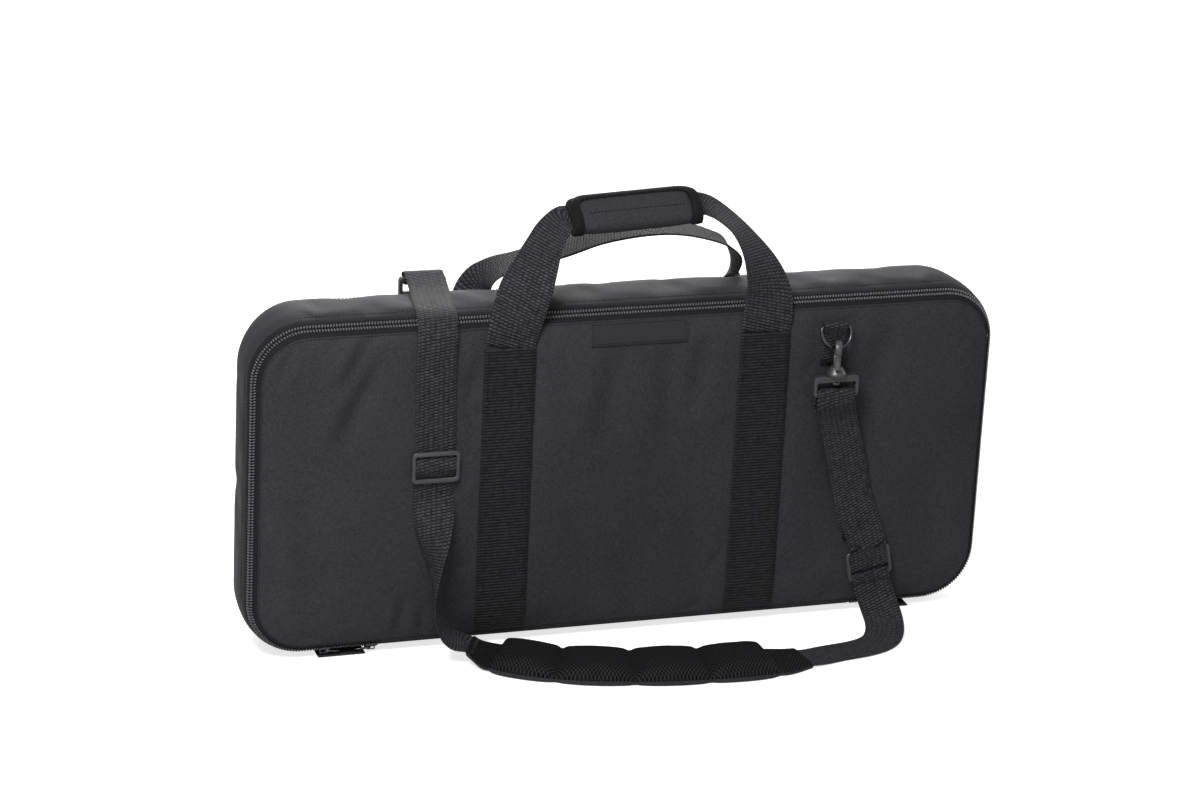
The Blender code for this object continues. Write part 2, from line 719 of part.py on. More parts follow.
def hook_body(name, matrix):
    """Moulded hook: a swept J on a turned bell with a headed swivel pin."""
    limb = rounded_rectangle(
        -HOOK_LIMB / 2, HOOK_LIMB / 2, -HOOK_WIDTH / 2, HOOK_WIDTH / 2, HOOK_LIMB * 0.3, 2
    )
    shape = link_temporary(name + "_limb", poly_curve(name + "_limb", [limb]))
    spine = [(0.0, BELL_TOP_Z - 0.003), (0.0, BELL_TOP_Z + 0.0015)]
    spine += [(-HOOK_EYE * 0.35, BELL_TOP_Z + 0.0045), (-HOOK_EYE * 0.8, BELL_TOP_Z + 0.0075)]
    spine += [(-HOOK_EYE, BELL_TOP_Z + 0.011)]
    spine += arc((0.0, EYE_CENTRE_Z), HOOK_EYE, 180, 0, 8)
    spine += [(HOOK_EYE, EYE_CENTRE_Z - 0.0035)]
    curve = poly_curve(name + "_spine", [spine], False)
    curve.bevel_mode = "OBJECT"
    curve.bevel_object = shape
    curve.use_fill_caps = True
    rail = link_temporary(name + "_spine", curve)
    turn = Matrix.Rotation(math.radians(HOOK_TURN - 90), 4, "Z") @ UPRIGHT
    rail.matrix_world = matrix @ Matrix.Translation((0.0, -HOOK_OUT, 0.0)) @ turn
    hook = add_part(name, apply_to_mesh(rail, name), PLASTIC)
    drop(rail, shape)
    pin_low = BELL_BASE_Z - GAP - FRAME_TOP_BAR - GAP
    profile = (
        (0.0, pin_low - 0.0026),
        (0.0036, pin_low - 0.0026),
        (0.0042, pin_low - 0.0018),
        (0.0042, pin_low),
        (PIN_RADIUS, pin_low),
        (PIN_RADIUS, BELL_BASE_Z),
        (BELL_RADIUS, BELL_BASE_Z),
        (BELL_RADIUS, BELL_BASE_Z + 0.0025),
        (BELL_RADIUS * 0.82, BELL_BASE_Z + 0.005),
        (BELL_RADIUS * 0.55, BELL_TOP_Z),
        (0.0, BELL_TOP_Z),
    )
    bell = turned(name + "_bell", profile, 16, matrix @ Matrix.Translation((0.0, -HOOK_OUT, 0.0)))
    combine(hook, bell, "UNION")
    return hook


GATE_PIVOT = (0.0072, BELL_TOP_Z + 0.0040)


def hook_gate(name, matrix):
    """Sprung gate: closes the hook under its nose, with a thumb lever at its foot."""
    top = EYE_CENTRE_Z - 0.0035 - GAP
    pivot_u, pivot_z = GATE_PIVOT
    outline = [
        (HOOK_EYE - 0.0019, top),
        (HOOK_EYE - 0.0019, pivot_z + 0.001),
        (pivot_u - 0.0020, pivot_z - 0.0008),
        (pivot_u, pivot_z - 0.0022),
        (pivot_u + 0.0032, pivot_z - 0.0052),
        (pivot_u + 0.0048, pivot_z - 0.0046),
        (pivot_u + 0.0026, pivot_z + 0.0006),
        (HOOK_EYE + 0.0021, top - 0.002),
        (HOOK_EYE + 0.0021, top),
    ]
    turn = Matrix.Rotation(math.radians(HOOK_TURN - 90), 4, "Z") @ UPRIGHT
    place = matrix @ Matrix.Translation((0.0, -HOOK_OUT, 0.0)) @ turn
    gate = plate(name, [outline], HOOK_WIDTH * 0.8, 0.0004, place, PLASTIC)
    set_origin(gate, place @ Vector((pivot_u, pivot_z, 0.0)))
    return gate


def hook_frame(name, matrix):
    """Flat strap frame that turns on the hook's pin."""
    top = BELL_BASE_Z - GAP
    window_top = top - FRAME_TOP_BAR
    window_low = window_top - FRAME_WINDOW
    half = FRAME_WIDTH / 2
    inner = STRAP_WIDTH / 2 + STRAP_SIDE_CLEAR
    outer = rounded_rectangle(-half, half, window_low - FRAME_LOW_BAR, top, 0.004, 3)
    window = rounded_rectangle(-inner, inner, window_low, window_top, 0.0012, 2)
    place = matrix @ Matrix.Translation((0.0, -HOOK_OUT, 0.0))
    frame = plate(name, [outer, window[::-1]], FRAME_THICK, 0.0008, place @ UPRIGHT, PLASTIC)
    hole = PIN_RADIUS + PIN_CLEAR
    past = 0.002
    profile = (
        (0.0, window_top - past), (hole, window_top - past), (hole, top + past), (0.0, top + past),
    )
    drill = turned(name + "_drill", profile, 16, place)
    combine(frame, drill, "DIFFERENCE")
    return frame


FRONT_RING_Z = SEAM_TOP - RING_BAR_DROP
front_hook_at = Matrix.Translation((RING_X, FRONT - PANEL_FLAT, FRONT_RING_Z))
flip = Matrix.Rotation(math.pi, 4, "X")
back_face = FRONT + BACK_FACE_DEPTH + PANEL_EDGE + CROWN
back_hook_at = Matrix.Translation((BACK_HOOK_X, back_face, SEAM_TOP - BACK_RING_DROP)) @ flip
for word, matrix in (("front", front_hook_at), ("back", back_hook_at)):
    ring_tab(word + "_ring_tab", matrix)
    ring(word + "_ring", matrix)
    hook_body(word + "_hook", matrix)
    hook_gate(word + "_hook_gate", matrix)
    hook_frame(word + "_hook_frame", matrix)

# Tri-glide slides on the shoulder strap.


def slide_matrix(x, stand, z, tilt):
    turn = Matrix.Rotation(math.radians(-tilt), 4, "Y")
    return Matrix.Translation((x, FRONT - PANEL_FLAT - stand, z)) @ turn


def strap_slide(name, matrix):
    half = SLIDE_WIDTH / 2
    tall = SLIDE_HEIGHT / 2
    inner = STRAP_WIDTH / 2 + STRAP_SIDE_CLEAR
    outer = rounded_rectangle(-half, half, -tall, tall, 0.0045, 4)
    upper = rounded_rectangle(-inner, inner, SLIDE_CENTRE_BAR / 2, tall - SLIDE_BAR, 0.0012, 2)
    lower = [(-x, -z) for x, z in upper]
    plate(name, [outer, upper[::-1], lower[::-1]], SLIDE_THICK, 0.0006, matrix @ UPRIGHT, PLASTIC)


LEFT_SLIDE_Z = SEAM_TOP - LEFT_SLIDE_DROP
left_slide_at = slide_matrix(LEFT_SLIDE_X, LEFT_SLIDE_STAND, LEFT_SLIDE_Z, 0.0)
right_slide_at = slide_matrix(RIGHT_SLIDE_X, RIGHT_SLIDE_STAND, RIGHT_SLIDE_Z, RIGHT_SLIDE_TILT)
strap_slide("slide_left", left_slide_at)
strap_slide("slide_right", right_slide_at)

# Shoulder strap webbing. Each run is given from its upper end down.
WEAVE = SLIDE_THICK / 2 + SLIDE_CLEAR + STRAP_THICK / 2


def weave_keys(matrix):
    """Webbing behind the outer bars of a slide and over its centre bar."""
    bar = SLIDE_CENTRE_BAR / 2
    outer = SLIDE_HEIGHT / 2 - SLIDE_BAR
    upper = [(outer + 0.012, WEAVE), (outer + 0.006, WEAVE), (outer + 0.0006, WEAVE * 0.93)]
    upper += [((outer + bar) / 2, 0.0), (bar - 0.0002, -WEAVE * 0.95), (0.0, -WEAVE)]
    stops = upper + [(-z, depth) for z, depth in upper[-2::-1]]
    across = matrix.to_3x3() @ Vector((1.0, 0.0, 0.0))
    return [(matrix @ Vector((0.0, depth, z)), across) for z, depth in stops]


def frame_turn(matrix):
    """Webbing round the low bar of a strap frame, from its panel side to its outer side."""
    bar_z = BELL_BASE_Z - GAP - FRAME_TOP_BAR - FRAME_WINDOW - FRAME_LOW_BAR / 2
    half = FRAME_THICK / 2 + TURN_CLEAR + STRAP_THICK / 2
    tall = FRAME_LOW_BAR / 2 + TURN_CLEAR + STRAP_THICK / 2
    shape = [(half, -tall - 0.004), (half, 0.0008)]
    shape += [(half - 0.0005, tall - 0.0006), (half - 0.0018, tall)]
    shape += [(-depth, z) for depth, z in shape[::-1]]
    across = matrix.to_3x3() @ Vector((1.0, 0.0, 0.0))
    keys = []
    for depth, z in shape:
        keys.append((matrix @ Vector((0.0, depth - HOOK_OUT, bar_z + z)), across))
    return keys


def world(x, depth, z):
    return Vector((x, FRONT + depth, z))


def off_lid(x, stand, z):
    """A place in front of the lid panel's flat."""
    return Vector((x, FRONT - PANEL_FLAT - stand, z))


ACROSS_X = Vector((1.0, 0.0, 0.0))
FRAME_FOOT_Z = FRONT_RING_Z + BELL_BASE_Z - GAP - FRAME_TOP_BAR - FRAME_WINDOW - FRAME_LOW_BAR
right_weave = weave_keys(right_slide_at)
lean = right_weave[0][1]
middle_x = RIGHT_SLIDE_X - 0.030
middle_z = RIGHT_SLIDE_Z + 0.108
right_upper = [
    (off_lid(RIGHT_SLIDE_X - 0.010, 0.0024, RIGHT_SLIDE_Z + 0.031), lean),
    (off_lid(RIGHT_SLIDE_X - 0.0165, 0.0022, RIGHT_SLIDE_Z + 0.055), lean),
    (off_lid(middle_x, 0.0018, middle_z), lean),
    (off_lid(RING_X + 0.010, 0.0024, FRAME_FOOT_Z - 0.0282), (1.0, 0.0, 0.14)),
    (off_lid(RING_X + 0.0025, 0.0052, FRAME_FOOT_Z - 0.0127), (1.0, 0.0, 0.05)),
]
right_upper += frame_turn(front_hook_at)
right_upper += [
    (off_lid(RING_X + 0.002, 0.0157, FRAME_FOOT_Z - 0.0117), (1.0, 0.0, 0.05)),
    (off_lid(RING_X + 0.0065, 0.0097, FRAME_FOOT_Z - 0.0222), (1.0, 0.0, 0.12)),
    (off_lid(RING_X + 0.013, 0.0054, FRAME_FOOT_Z - 0.0402), (1.0, 0.0, 0.16)),
    (off_lid(middle_x, 0.0044, middle_z), lean),
    (off_lid(RIGHT_SLIDE_X - 0.0185, 0.0046, RIGHT_SLIDE_Z + 0.064), lean),
]
ribbon("strap_right_upper", right_upper + right_weave, STRAP_WIDTH, STRAP_THICK, 2, WEBBING)

left_weave = weave_keys(left_slide_at)
top_z = SEAM_TOP + BULGE_OUT + STRAP_THICK / 2 + STRAP_TOP_GAP
left_upper = frame_turn(back_hook_at)
left_drift = LEFT_SLIDE_X - BACK_HOOK_X
left_upper += [
    (world(BACK_HOOK_X + left_drift * 0.08, CASE_DEPTH + 0.008, top_z + 0.0085), (1.0, -0.05, 0.0)),
    (world(BACK_HOOK_X + left_drift * 0.21, CASE_DEPTH - 0.010, top_z + 0.0035), (1.0, -0.14, 0.0)),
    (world(BACK_HOOK_X + left_drift * 0.45, CASE_DEPTH * 0.625, top_z + 0.0006), (1.0, -0.18, 0.0)),
    (world(BACK_HOOK_X + left_drift * 0.70, CASE_DEPTH * 0.354, top_z + 0.0006), (1.0, -0.16, 0.0)),
    (world(BACK_HOOK_X + left_drift * 0.86, 0.014, top_z - 0.0010), (1.0, -0.08, 0.0)),
    (world(LEFT_SLIDE_X + 0.0005, -0.001, SEAM_TOP + 0.0068), (1.0, 0.0, 0.05)),
    (off_lid(LEFT_SLIDE_X - 0.0011, 0.0020, SEAM_TOP - 0.008), (1.0, 0.0, 0.06)),
    (off_lid(LEFT_SLIDE_X - 0.0018, 0.0032, SEAM_TOP - 0.030), (1.0, 0.0, 0.02)),
    (off_lid(LEFT_SLIDE_X - 0.0008, 0.0026, LEFT_SLIDE_Z + 0.056), ACROSS_X),
]
ribbon("strap_left_upper", left_upper + left_weave, STRAP_WIDTH, STRAP_THICK, 2, WEBBING)

# Shoulder pad: a quilted cushion that lies on the floor in front of the case.
PAD_LINE = (
    (-0.163, -0.030), (-0.140, -0.042), (-0.088, -0.075), (-0.022, -0.095),
    (0.046, -0.105), (0.113, -0.106), (0.150, -0.103),
)
PAD_CELL_STEPS = 6
PAD_SIDE_STEPS = 10


def pad_stations():
    points = catmull([Vector((x, FRONT + depth, 0.0)) for x, depth in PAD_LINE], PAD_CELL_STEPS)
    stations = []
    last = len(points) - 1
    for index, point in enumerate(points):
        ahead = (points[min(index + 1, last)] - points[max(index - 1, 0)]).normalized()
        across = Vector((-ahead.y, ahead.x, 0.0))
        stations.append((point, across, index / PAD_CELL_STEPS))
    return stations


def pad_height(cell, side):
    """Top height of the pad: crowned chambers, sewn channels and thin sewn ends."""
    cells = len(PAD_LINE) - 1
    if cell <= 1.0 or cell >= cells - 1:
        crest = PAD_END_THICK
        edge = PAD_END_THICK * 0.7
    else:
        swell = math.sin(math.pi * (cell - math.floor(cell))) ** 0.5
        crest = PAD_CHANNEL + (PAD_THICK - PAD_CHANNEL) * swell
        edge = PAD_EDGE * (0.8 + 0.2 * swell)
    return edge + (crest - edge) * (1.0 - abs(side) ** 4) ** 0.7


def pad_half_width(cell):
    cells = len(PAD_LINE) - 1
    share = min(min(cell, cells - cell), 1.4) / 1.4
    ease = share * share * (3 - 2 * share)
    waist = 1.0 - 0.05 * (1.0 - abs(math.sin(math.pi * cell)))
    return (PAD_END_WIDTH + (PAD_WIDTH - PAD_END_WIDTH) * ease) / 2 * waist


def shoulder_pad():
    shape = bmesh.new()
    rows = []
    for point, across, cell in pad_stations():
        row = []
        for step in range(PAD_SIDE_STEPS + 1):
            side = math.sin(math.pi * (step / PAD_SIDE_STEPS - 0.5))
            place = point + across * side * pad_half_width(cell)
            place.z = pad_height(cell, side)
            row.append(shape.verts.new(place))
        rows.append(row)
    for first, second in zip(rows, rows[1:]):
        for index in range(PAD_SIDE_STEPS):
            shape.faces.new((first[index], first[index + 1], second[index + 1], second[index]))
    floor = bmesh.ops.extrude_face_region(shape, geom=list(shape.faces))
    for item in floor["geom"]:
        if isinstance(item, bmesh.types.BMVert):
            item.co.z = 0.0
    bmesh.ops.recalc_face_normals(shape, faces=shape.faces)
    mesh = bpy.data.meshes.new("shoulder_pad")
    shape.to_mesh(mesh)
    shape.free()
    return add_part("shoulder_pad", mesh, MESH)


shoulder_pad()
stations = pad_stations()
pad_start, pad_start_across = stations[0][0], stations[0][1]
pad_end, pad_end_across = stations[-1][0], stations[-1][1]
start_ahead = Vector((pad_start_across.y, -pad_start_across.x, 0.0))
end_ahead = Vector((pad_end_across.y, -pad_end_across.x, 0.0))
strap_floor = STRAP_THICK / 2 + STRAP_FLOOR_GAP
pad_entry = PAD_END_THICK / 2

left_start = left_weave[-1][0] + Vector((0.0, 0.0, -2 * GAP))
left_lower = [
    (left_start, ACROSS_X),
    (off_lid(LEFT_SLIDE_X - 0.0003, 0.0026, LEFT_SLIDE_Z - 0.033), ACROSS_X),
    (off_lid(LEFT_SLIDE_X - 0.0023, 0.0122, LEFT_SLIDE_Z - 0.049), (0.86, -0.50, 0.0)),
    (off_lid(LEFT_SLIDE_X - 0.0043, 0.0204, LEFT_SLIDE_Z - 0.069), (0.55, -0.83, 0.0)),
    (off_lid(LEFT_SLIDE_X - 0.0048, 0.0224, LEFT_SLIDE_Z - 0.089), (0.20, -0.98, 0.0)),
    (off_lid(LEFT_SLIDE_X - 0.0013, 0.0232, 0.064), (-0.33, -0.94, 0.0)),
    (off_lid(LEFT_SLIDE_X + 0.0067, 0.0217, 0.030), (-0.50, -0.86, 0.0)),
    (pad_start - start_ahead * 0.014 + Vector((0.0, 0.0, 0.0095)), -pad_start_across),
    (pad_start - start_ahead * 0.006 + Vector((0.0, 0.0, 0.0045)), -pad_start_across),
    (pad_start - start_ahead * 0.0006 + Vector((0.0, 0.0, pad_entry)), -pad_start_across),
]
ribbon("strap_left_lower", left_lower, STRAP_WIDTH, STRAP_THICK, 4, WEBBING)

right_start = right_weave[-1][0] + (right_slide_at.to_3x3() @ Vector((0.0, 0.0, -2 * GAP)))
right_lower = [
    (right_start, lean),
    (world(RIGHT_SLIDE_X + 0.0085, -0.0230, 0.020), (0.98, -0.12, 0.16)),
    (world(RIGHT_SLIDE_X + 0.0095, -0.0400, 0.0065), (0.90, -0.42, 0.06)),
    (world(RIGHT_SLIDE_X + 0.0015, -0.0620, 0.0026), (0.68, -0.73, 0.0)),
    (world(RIGHT_SLIDE_X - 0.0115, -0.0790, strap_floor), (0.36, -0.93, 0.0)),
    (world(RIGHT_SLIDE_X - 0.0335, -0.0900, strap_floor), (0.08, -1.0, 0.0)),
    (world(pad_end.x + 0.032, -0.0960, strap_floor), (0.0, -1.0, 0.0)),
    (pad_end + end_ahead * 0.010 + Vector((0.0, 0.0, 0.0018)), -pad_end_across),
    (pad_end + end_ahead * 0.0006 + Vector((0.0, 0.0, pad_entry)), -pad_end_across),
]
ribbon("strap_right_lower", right_lower, STRAP_WIDTH, STRAP_THICK, 3, WEBBING)

# Zip sliders with wire pulls, and the webbing tabs at the zip ends.


def band_matrix(x):
    """Frame on the bottom zip band: X along the zip, Y across it, Z out of it."""
    depth, out = band_point(ZIP_CENTRE, 0.0)
    across = Vector((0.0, ALONG_BAND[0], -ALONG_BAND[1]))
    normal = Vector((0.0, OUT_OF_BAND[0], -OUT_OF_BAND[1]))
    along = across.cross(normal)
    matrix = Matrix((along, across, normal)).transposed().to_4x4()
    return Matrix.Translation((x, FRONT + depth, SEAM_BOTTOM - out)) @ matrix


SLIDER_ROOF = BEAD_HEIGHT + SLIDER_CLEAR
SLIDER_TOP = SLIDER_ROOF + SLIDER_WALL


def zip_slider(name, x):
    inner = BEAD_WIDTH + ZIP_HALF_GAP + SLIDER_CLEAR
    outer = inner + SLIDER_WALL
    low = TAPE_THICK + SLIDER_CLEAR
    channel = [
        (-outer, low), (-inner, low), (-inner, SLIDER_ROOF), (inner, SLIDER_ROOF),
        (inner, low), (outer, low), (outer, SLIDER_TOP), (-outer, SLIDER_TOP),
    ]
    place = band_matrix(x)
    upright = Matrix(((0, 0, 1, 0), (1, 0, 0, 0), (0, 1, 0, 0), (0, 0, 0, 1)))
    body = plate(name, [channel], SLIDER_LENGTH, 0.0, place @ upright, METAL)
    half = SLIDER_LENGTH * 0.36
    top = SLIDER_TOP + BRIDGE_HEIGHT
    low = SLIDER_TOP - 0.0004
    inside = half - BRIDGE_WALL
    under = top - BRIDGE_WALL
    bevel = BRIDGE_WALL * 0.6
    arch = [
        (-half, low), (-half, top - bevel), (-half + bevel, top), (half - bevel, top), (half, top - bevel),
        (half, low), (inside, low), (inside, under), (-inside, under), (-inside, low),
    ]
    sideways = Matrix.Rotation(math.radians(90), 4, "X")
    bridge = plate(name + "_bridge", [arch], 0.002, 0.0, place @ sideways, METAL)
    combine(body, bridge, "UNION")
    set_origin(body, place @ Vector((0.0, 0.0, SLIDER_TOP)))
    return body


def zip_pull(name, x, way):
    height = SLIDER_TOP + BRIDGE_HEIGHT - BRIDGE_WALL - PULL_WIRE - PULL_CLEAR
    half = PULL_WIDTH / 2
    points = [(0.0, -half, 0.0), (0.0, half, 0.0)]
    points += [(way * PULL_LENGTH * 0.55, half, 0.0)]
    for step in range(1, 6):
        angle = math.pi * step / 6
        points.append(
            (way * PULL_LENGTH * (0.55 + 0.4 * math.sin(angle)), half * math.cos(angle), 0.0)
        )
    points += [(way * PULL_LENGTH * 0.55, -half, 0.0)]
    axis = band_matrix(x) @ Matrix.Translation((0.0, 0.0, height))
    sag = Matrix.Rotation(math.radians(-way * PULL_SAG), 4, "Y")
    pull = wire(name, points, PULL_WIRE, axis @ sag, METAL)
    set_origin(pull, axis.translation)
    return pull


for hand, x, way in (("left", SLIDER_LEFT_X, -1), ("right", SLIDER_RIGHT_X, 1)):
    zip_slider("zip_slider_" + hand, x)
    zip_pull("zip_pull_" + hand, x, way)

for hand, sign in (("left", -1), ("right", 1)):
    tab_z = TAB_THICK / 2 + TAB_FLOOR_GAP
    ridge_depth, ridge_out = band_point(BAND_SLOPE, TAPE_THICK)
    sewn_z = SEAM_BOTTOM - ridge_out - GAP - TAB_THICK / 2
    tab_keys = [
        (world(sign * TAB_X, ridge_depth, sewn_z), ACROSS_X),
        (world(sign * TAB_X, 0.0090, tab_z), ACROSS_X),
        (world(sign * TAB_X, 0.0010, tab_z), ACROSS_X),
    ]
    ribbon("zip_end_tab_" + hand, tab_keys, TAB_WIDTH, TAB_THICK, 1, WEBBING)

# The lid and all that is sewn or clipped to it turn about the lid's bottom seam.
LID_PIECES = (
    "lid_panel", "lid_foam", "lid_lining", "zip_tape_lid", "front_band_left", "front_band_right",
    "label_patch", "front_ring_tab", "front_ring", "front_hook", "front_hook_frame", "slide_left",
    "slide_right", "strap_right_upper",
)
for name in LID_PIECES:
    set_origin(bpy.data.objects[name], (0.0, FRONT, SEAM_BOTTOM))

triangles = 0
for part in part_set.objects:
    part.data.calc_loop_triangles()
    triangles += len(part.data.loop_triangles)
print("parts", len(part_set.objects), "triangles", triangles)
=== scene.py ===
# %% [markdown]
# # A soft carry case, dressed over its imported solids
#
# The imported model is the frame: bodies, joints and plain solids, in metres. This lesson dresses
# it the way the case is sewn, so that every piece sits where its solid sits and moves with it.

# %% Load the frame
import math

import bmesh
import bpy
import numpy as np
from mathutils import Matrix, Vector


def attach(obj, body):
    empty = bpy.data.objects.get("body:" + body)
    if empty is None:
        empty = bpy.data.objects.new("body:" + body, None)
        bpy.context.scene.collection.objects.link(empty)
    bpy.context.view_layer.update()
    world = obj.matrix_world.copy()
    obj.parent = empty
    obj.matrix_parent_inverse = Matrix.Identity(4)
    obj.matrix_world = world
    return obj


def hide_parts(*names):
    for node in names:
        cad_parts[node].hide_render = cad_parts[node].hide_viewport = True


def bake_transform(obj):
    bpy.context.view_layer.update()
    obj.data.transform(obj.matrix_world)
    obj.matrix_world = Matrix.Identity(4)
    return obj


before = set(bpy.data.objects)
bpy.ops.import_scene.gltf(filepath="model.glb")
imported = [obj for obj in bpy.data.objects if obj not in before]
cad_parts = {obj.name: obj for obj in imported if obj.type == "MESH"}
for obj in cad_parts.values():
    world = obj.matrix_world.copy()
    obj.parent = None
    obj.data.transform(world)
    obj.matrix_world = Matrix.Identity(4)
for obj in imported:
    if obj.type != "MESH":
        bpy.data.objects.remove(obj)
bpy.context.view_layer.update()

# %% [markdown]
# ## Camera
#
# The seams of the lid gave the viewpoint: a long lens, nineteen degrees to the left and nineteen
# above, with the camera rolled a little. The frame is 1181 by 787 pixels.

# %% Camera
PHOTO_WIDTH = 1181
FOCAL_PIXELS = 3600.0
SENSOR_MM = 36.0
CAMERA_PLACE = Vector((-1.1048, -3.0633, 1.3785))
yaw, pitch, roll = (math.radians(angle) for angle in (19.385, 19.484, 2.872))
forward = Vector((math.sin(yaw) * math.cos(pitch), math.cos(yaw) * math.cos(pitch), -math.sin(pitch)))
level = Vector((math.cos(yaw), -math.sin(yaw), 0.0))
upward = level.cross(forward)
camera_right = math.cos(roll) * level + math.sin(roll) * upward
camera_up = math.cos(roll) * upward - math.sin(roll) * level

camera_data = bpy.data.cameras.new("camera")
camera_data.sensor_fit = "HORIZONTAL"
camera_data.sensor_width = SENSOR_MM
camera_data.lens = FOCAL_PIXELS * SENSOR_MM / PHOTO_WIDTH
camera_data.clip_end = 50.0
camera = bpy.data.objects.new("camera", camera_data)
axes = Matrix((camera_right, camera_up, -forward)).transposed().to_4x4()
camera.matrix_world = Matrix.Translation(CAMERA_PLACE) @ axes
bpy.context.scene.collection.objects.link(camera)
bpy.context.scene.camera = camera
print("lens", round(camera_data.lens, 1), "mm")

# %% [markdown]
# ## Small helpers
#
# Colours are written as sRGB hex and turned to linear by one function. One function adds a shader
# or geometry node with its settings, values and links. The last step of every material is the same:
# a value picks the tone between a dark and a light colour, and another raises the surface.

# %% Helpers


def linear(code):
    """An sRGB hex colour as the linear colour that a shader reads."""
    channels = [int(code[start:start + 2], 16) / 255 for start in (1, 3, 5)]
    straight = [c / 12.92 if c <= 0.04045 else ((c + 0.055) / 1.055) ** 2.4 for c in channels]
    return (*straight, 1.0)


def add_node(tree, kind, values=None, links=None, **settings):
    """Add a node, set its properties and input values, and link its inputs."""
    item = tree.nodes.new(kind)
    for name, value in settings.items():
        setattr(item, name, value)
    for socket, value in (values or {}).items():
        item.inputs[socket].default_value = value
    for socket, source in (links or {}).items():
        tree.links.new(source, item.inputs[socket])
    return item


MATH = "ShaderNodeMath"
NOISE = "ShaderNodeTexNoise"


def start_material(name, roughness):
    material = bpy.data.materials.new(name)
    material.use_nodes = True
    tree = material.node_tree
    shader = tree.nodes["Principled BSDF"]
    shader.inputs["Roughness"].default_value = roughness
    return material, tree, shader


def paint(tree, shader, dark, light, shade, height, relief, distance):
    """Colour a surface between two tones by one value, and raise it by another."""
    tones = {6: linear(dark), 7: linear(light)}
    colour = add_node(tree, "ShaderNodeMix", tones, {0: shade}, data_type="RGBA")
    tree.links.new(colour.outputs[2], shader.inputs["Base Color"])
    bump = add_node(tree, "ShaderNodeBump", {"Strength": relief, "Distance": distance}, {"Height": height})
    tree.links.new(bump.outputs[0], shader.inputs["Normal"])


print("white is", linear("#ffffff"))

# %% [markdown]
# ## Floor and light
#
# A pale floor keeps the shadow. The white behind comes from the world for camera, glossy and
# transmission rays only. Four soft lamps: a key high on the left, which rakes the folds, a weak low
# one in front, one behind and one on the right, all at a plain level.

# %% Floor and light
floor_material, tree, shader = start_material("pale_paper_floor", 0.9)
shader.inputs["Base Color"].default_value = linear("#e9e9ea")
shader.inputs["Specular IOR Level"].default_value = 0.1
rays = add_node(tree, "ShaderNodeLightPath")
shader.inputs["Emission Color"].default_value = linear("#ffffff")
lift = add_node(tree, MATH, {1: 0.74}, {0: rays.outputs["Is Camera Ray"]}, operation="MULTIPLY")
tree.links.new(lift.outputs[0], shader.inputs["Emission Strength"])

floor_mesh = bpy.data.meshes.new("floor")
reach = 9.0
floor_mesh.from_pydata(
    [(-reach, -reach, 0.0), (reach, -reach, 0.0), (reach, reach, 0.0), (-reach, reach, 0.0)],
    [], [(0, 1, 2, 3)]
)
floor_mesh.transform(Matrix.Translation((0.0, 0.0, -0.0006)))
floor_mesh.materials.append(floor_material)
floor = bpy.data.objects.new("floor", floor_mesh)
bpy.context.scene.collection.objects.link(floor)

world = bpy.data.worlds.new("studio")
world.use_nodes = True
bpy.context.scene.world = world
tree = world.node_tree
soft_sky = tree.nodes["Background"]
soft_sky.inputs["Color"].default_value = linear("#e8e8ea")
soft_sky.inputs["Strength"].default_value = 0.13
white_sky = add_node(tree, "ShaderNodeBackground", {"Color": linear("#ffffff"), "Strength": 1.0})
rays = add_node(tree, "ShaderNodeLightPath")
straight_rays = {0: rays.outputs["Is Camera Ray"], 1: rays.outputs["Is Transmission Ray"]}
seen = add_node(tree, MATH, None, straight_rays, operation="MAXIMUM")
mirrored_rays = {0: seen.outputs[0], 1: rays.outputs["Is Glossy Ray"]}
shown = add_node(tree, MATH, None, mirrored_rays, operation="MAXIMUM")
skies = {0: shown.outputs[0], 1: soft_sky.outputs[0], 2: white_sky.outputs[0]}
choice = add_node(tree, "ShaderNodeMixShader", None, skies)
tree.links.new(choice.outputs[0], tree.nodes["World Output"].inputs["Surface"])

LAMPS = (
    ("key_lamp", (-0.85, -1.1, 1.8), 0.7, 48.0),
    ("low_lamp", (-0.7, -2.7, 0.5), 0.8, 7.0),
    ("back_lamp", (0.6, 2.6, 1.2), 1.6, 40.0),
    ("side_lamp", (2.4, 0.2, 1.2), 1.2, 12.0),
)
for name, place, size, power in LAMPS:
    lamp = bpy.data.lights.new(name, "AREA")
    lamp.size = size
    lamp.energy = power
    holder = bpy.data.objects.new(name, lamp)
    aim = Vector((0.0, 0.0, 0.16)) - Vector(place)
    holder.matrix_world = Matrix.Translation(place) @ aim.to_track_quat("-Z", "Y").to_matrix().to_4x4()
    bpy.context.scene.collection.objects.link(holder)
bpy.context.scene.view_settings.view_transform = "Standard"
print("lamps", len(LAMPS))

# %% [markdown]
# ## Woven cloth
#
# The case is sewn from coated nylon: a tight plain weave that scatters light softly, with a faint
# grain of slightly uneven threads. Real threads are about 0.6 mm apart, too fine to show from here,
# so the uneven threads are drawn at 1.3 mm. The pattern reads Object coordinates and runs along all
# three axes, so it works on the panels, the top and the ends alike.

# %% Cloth materials


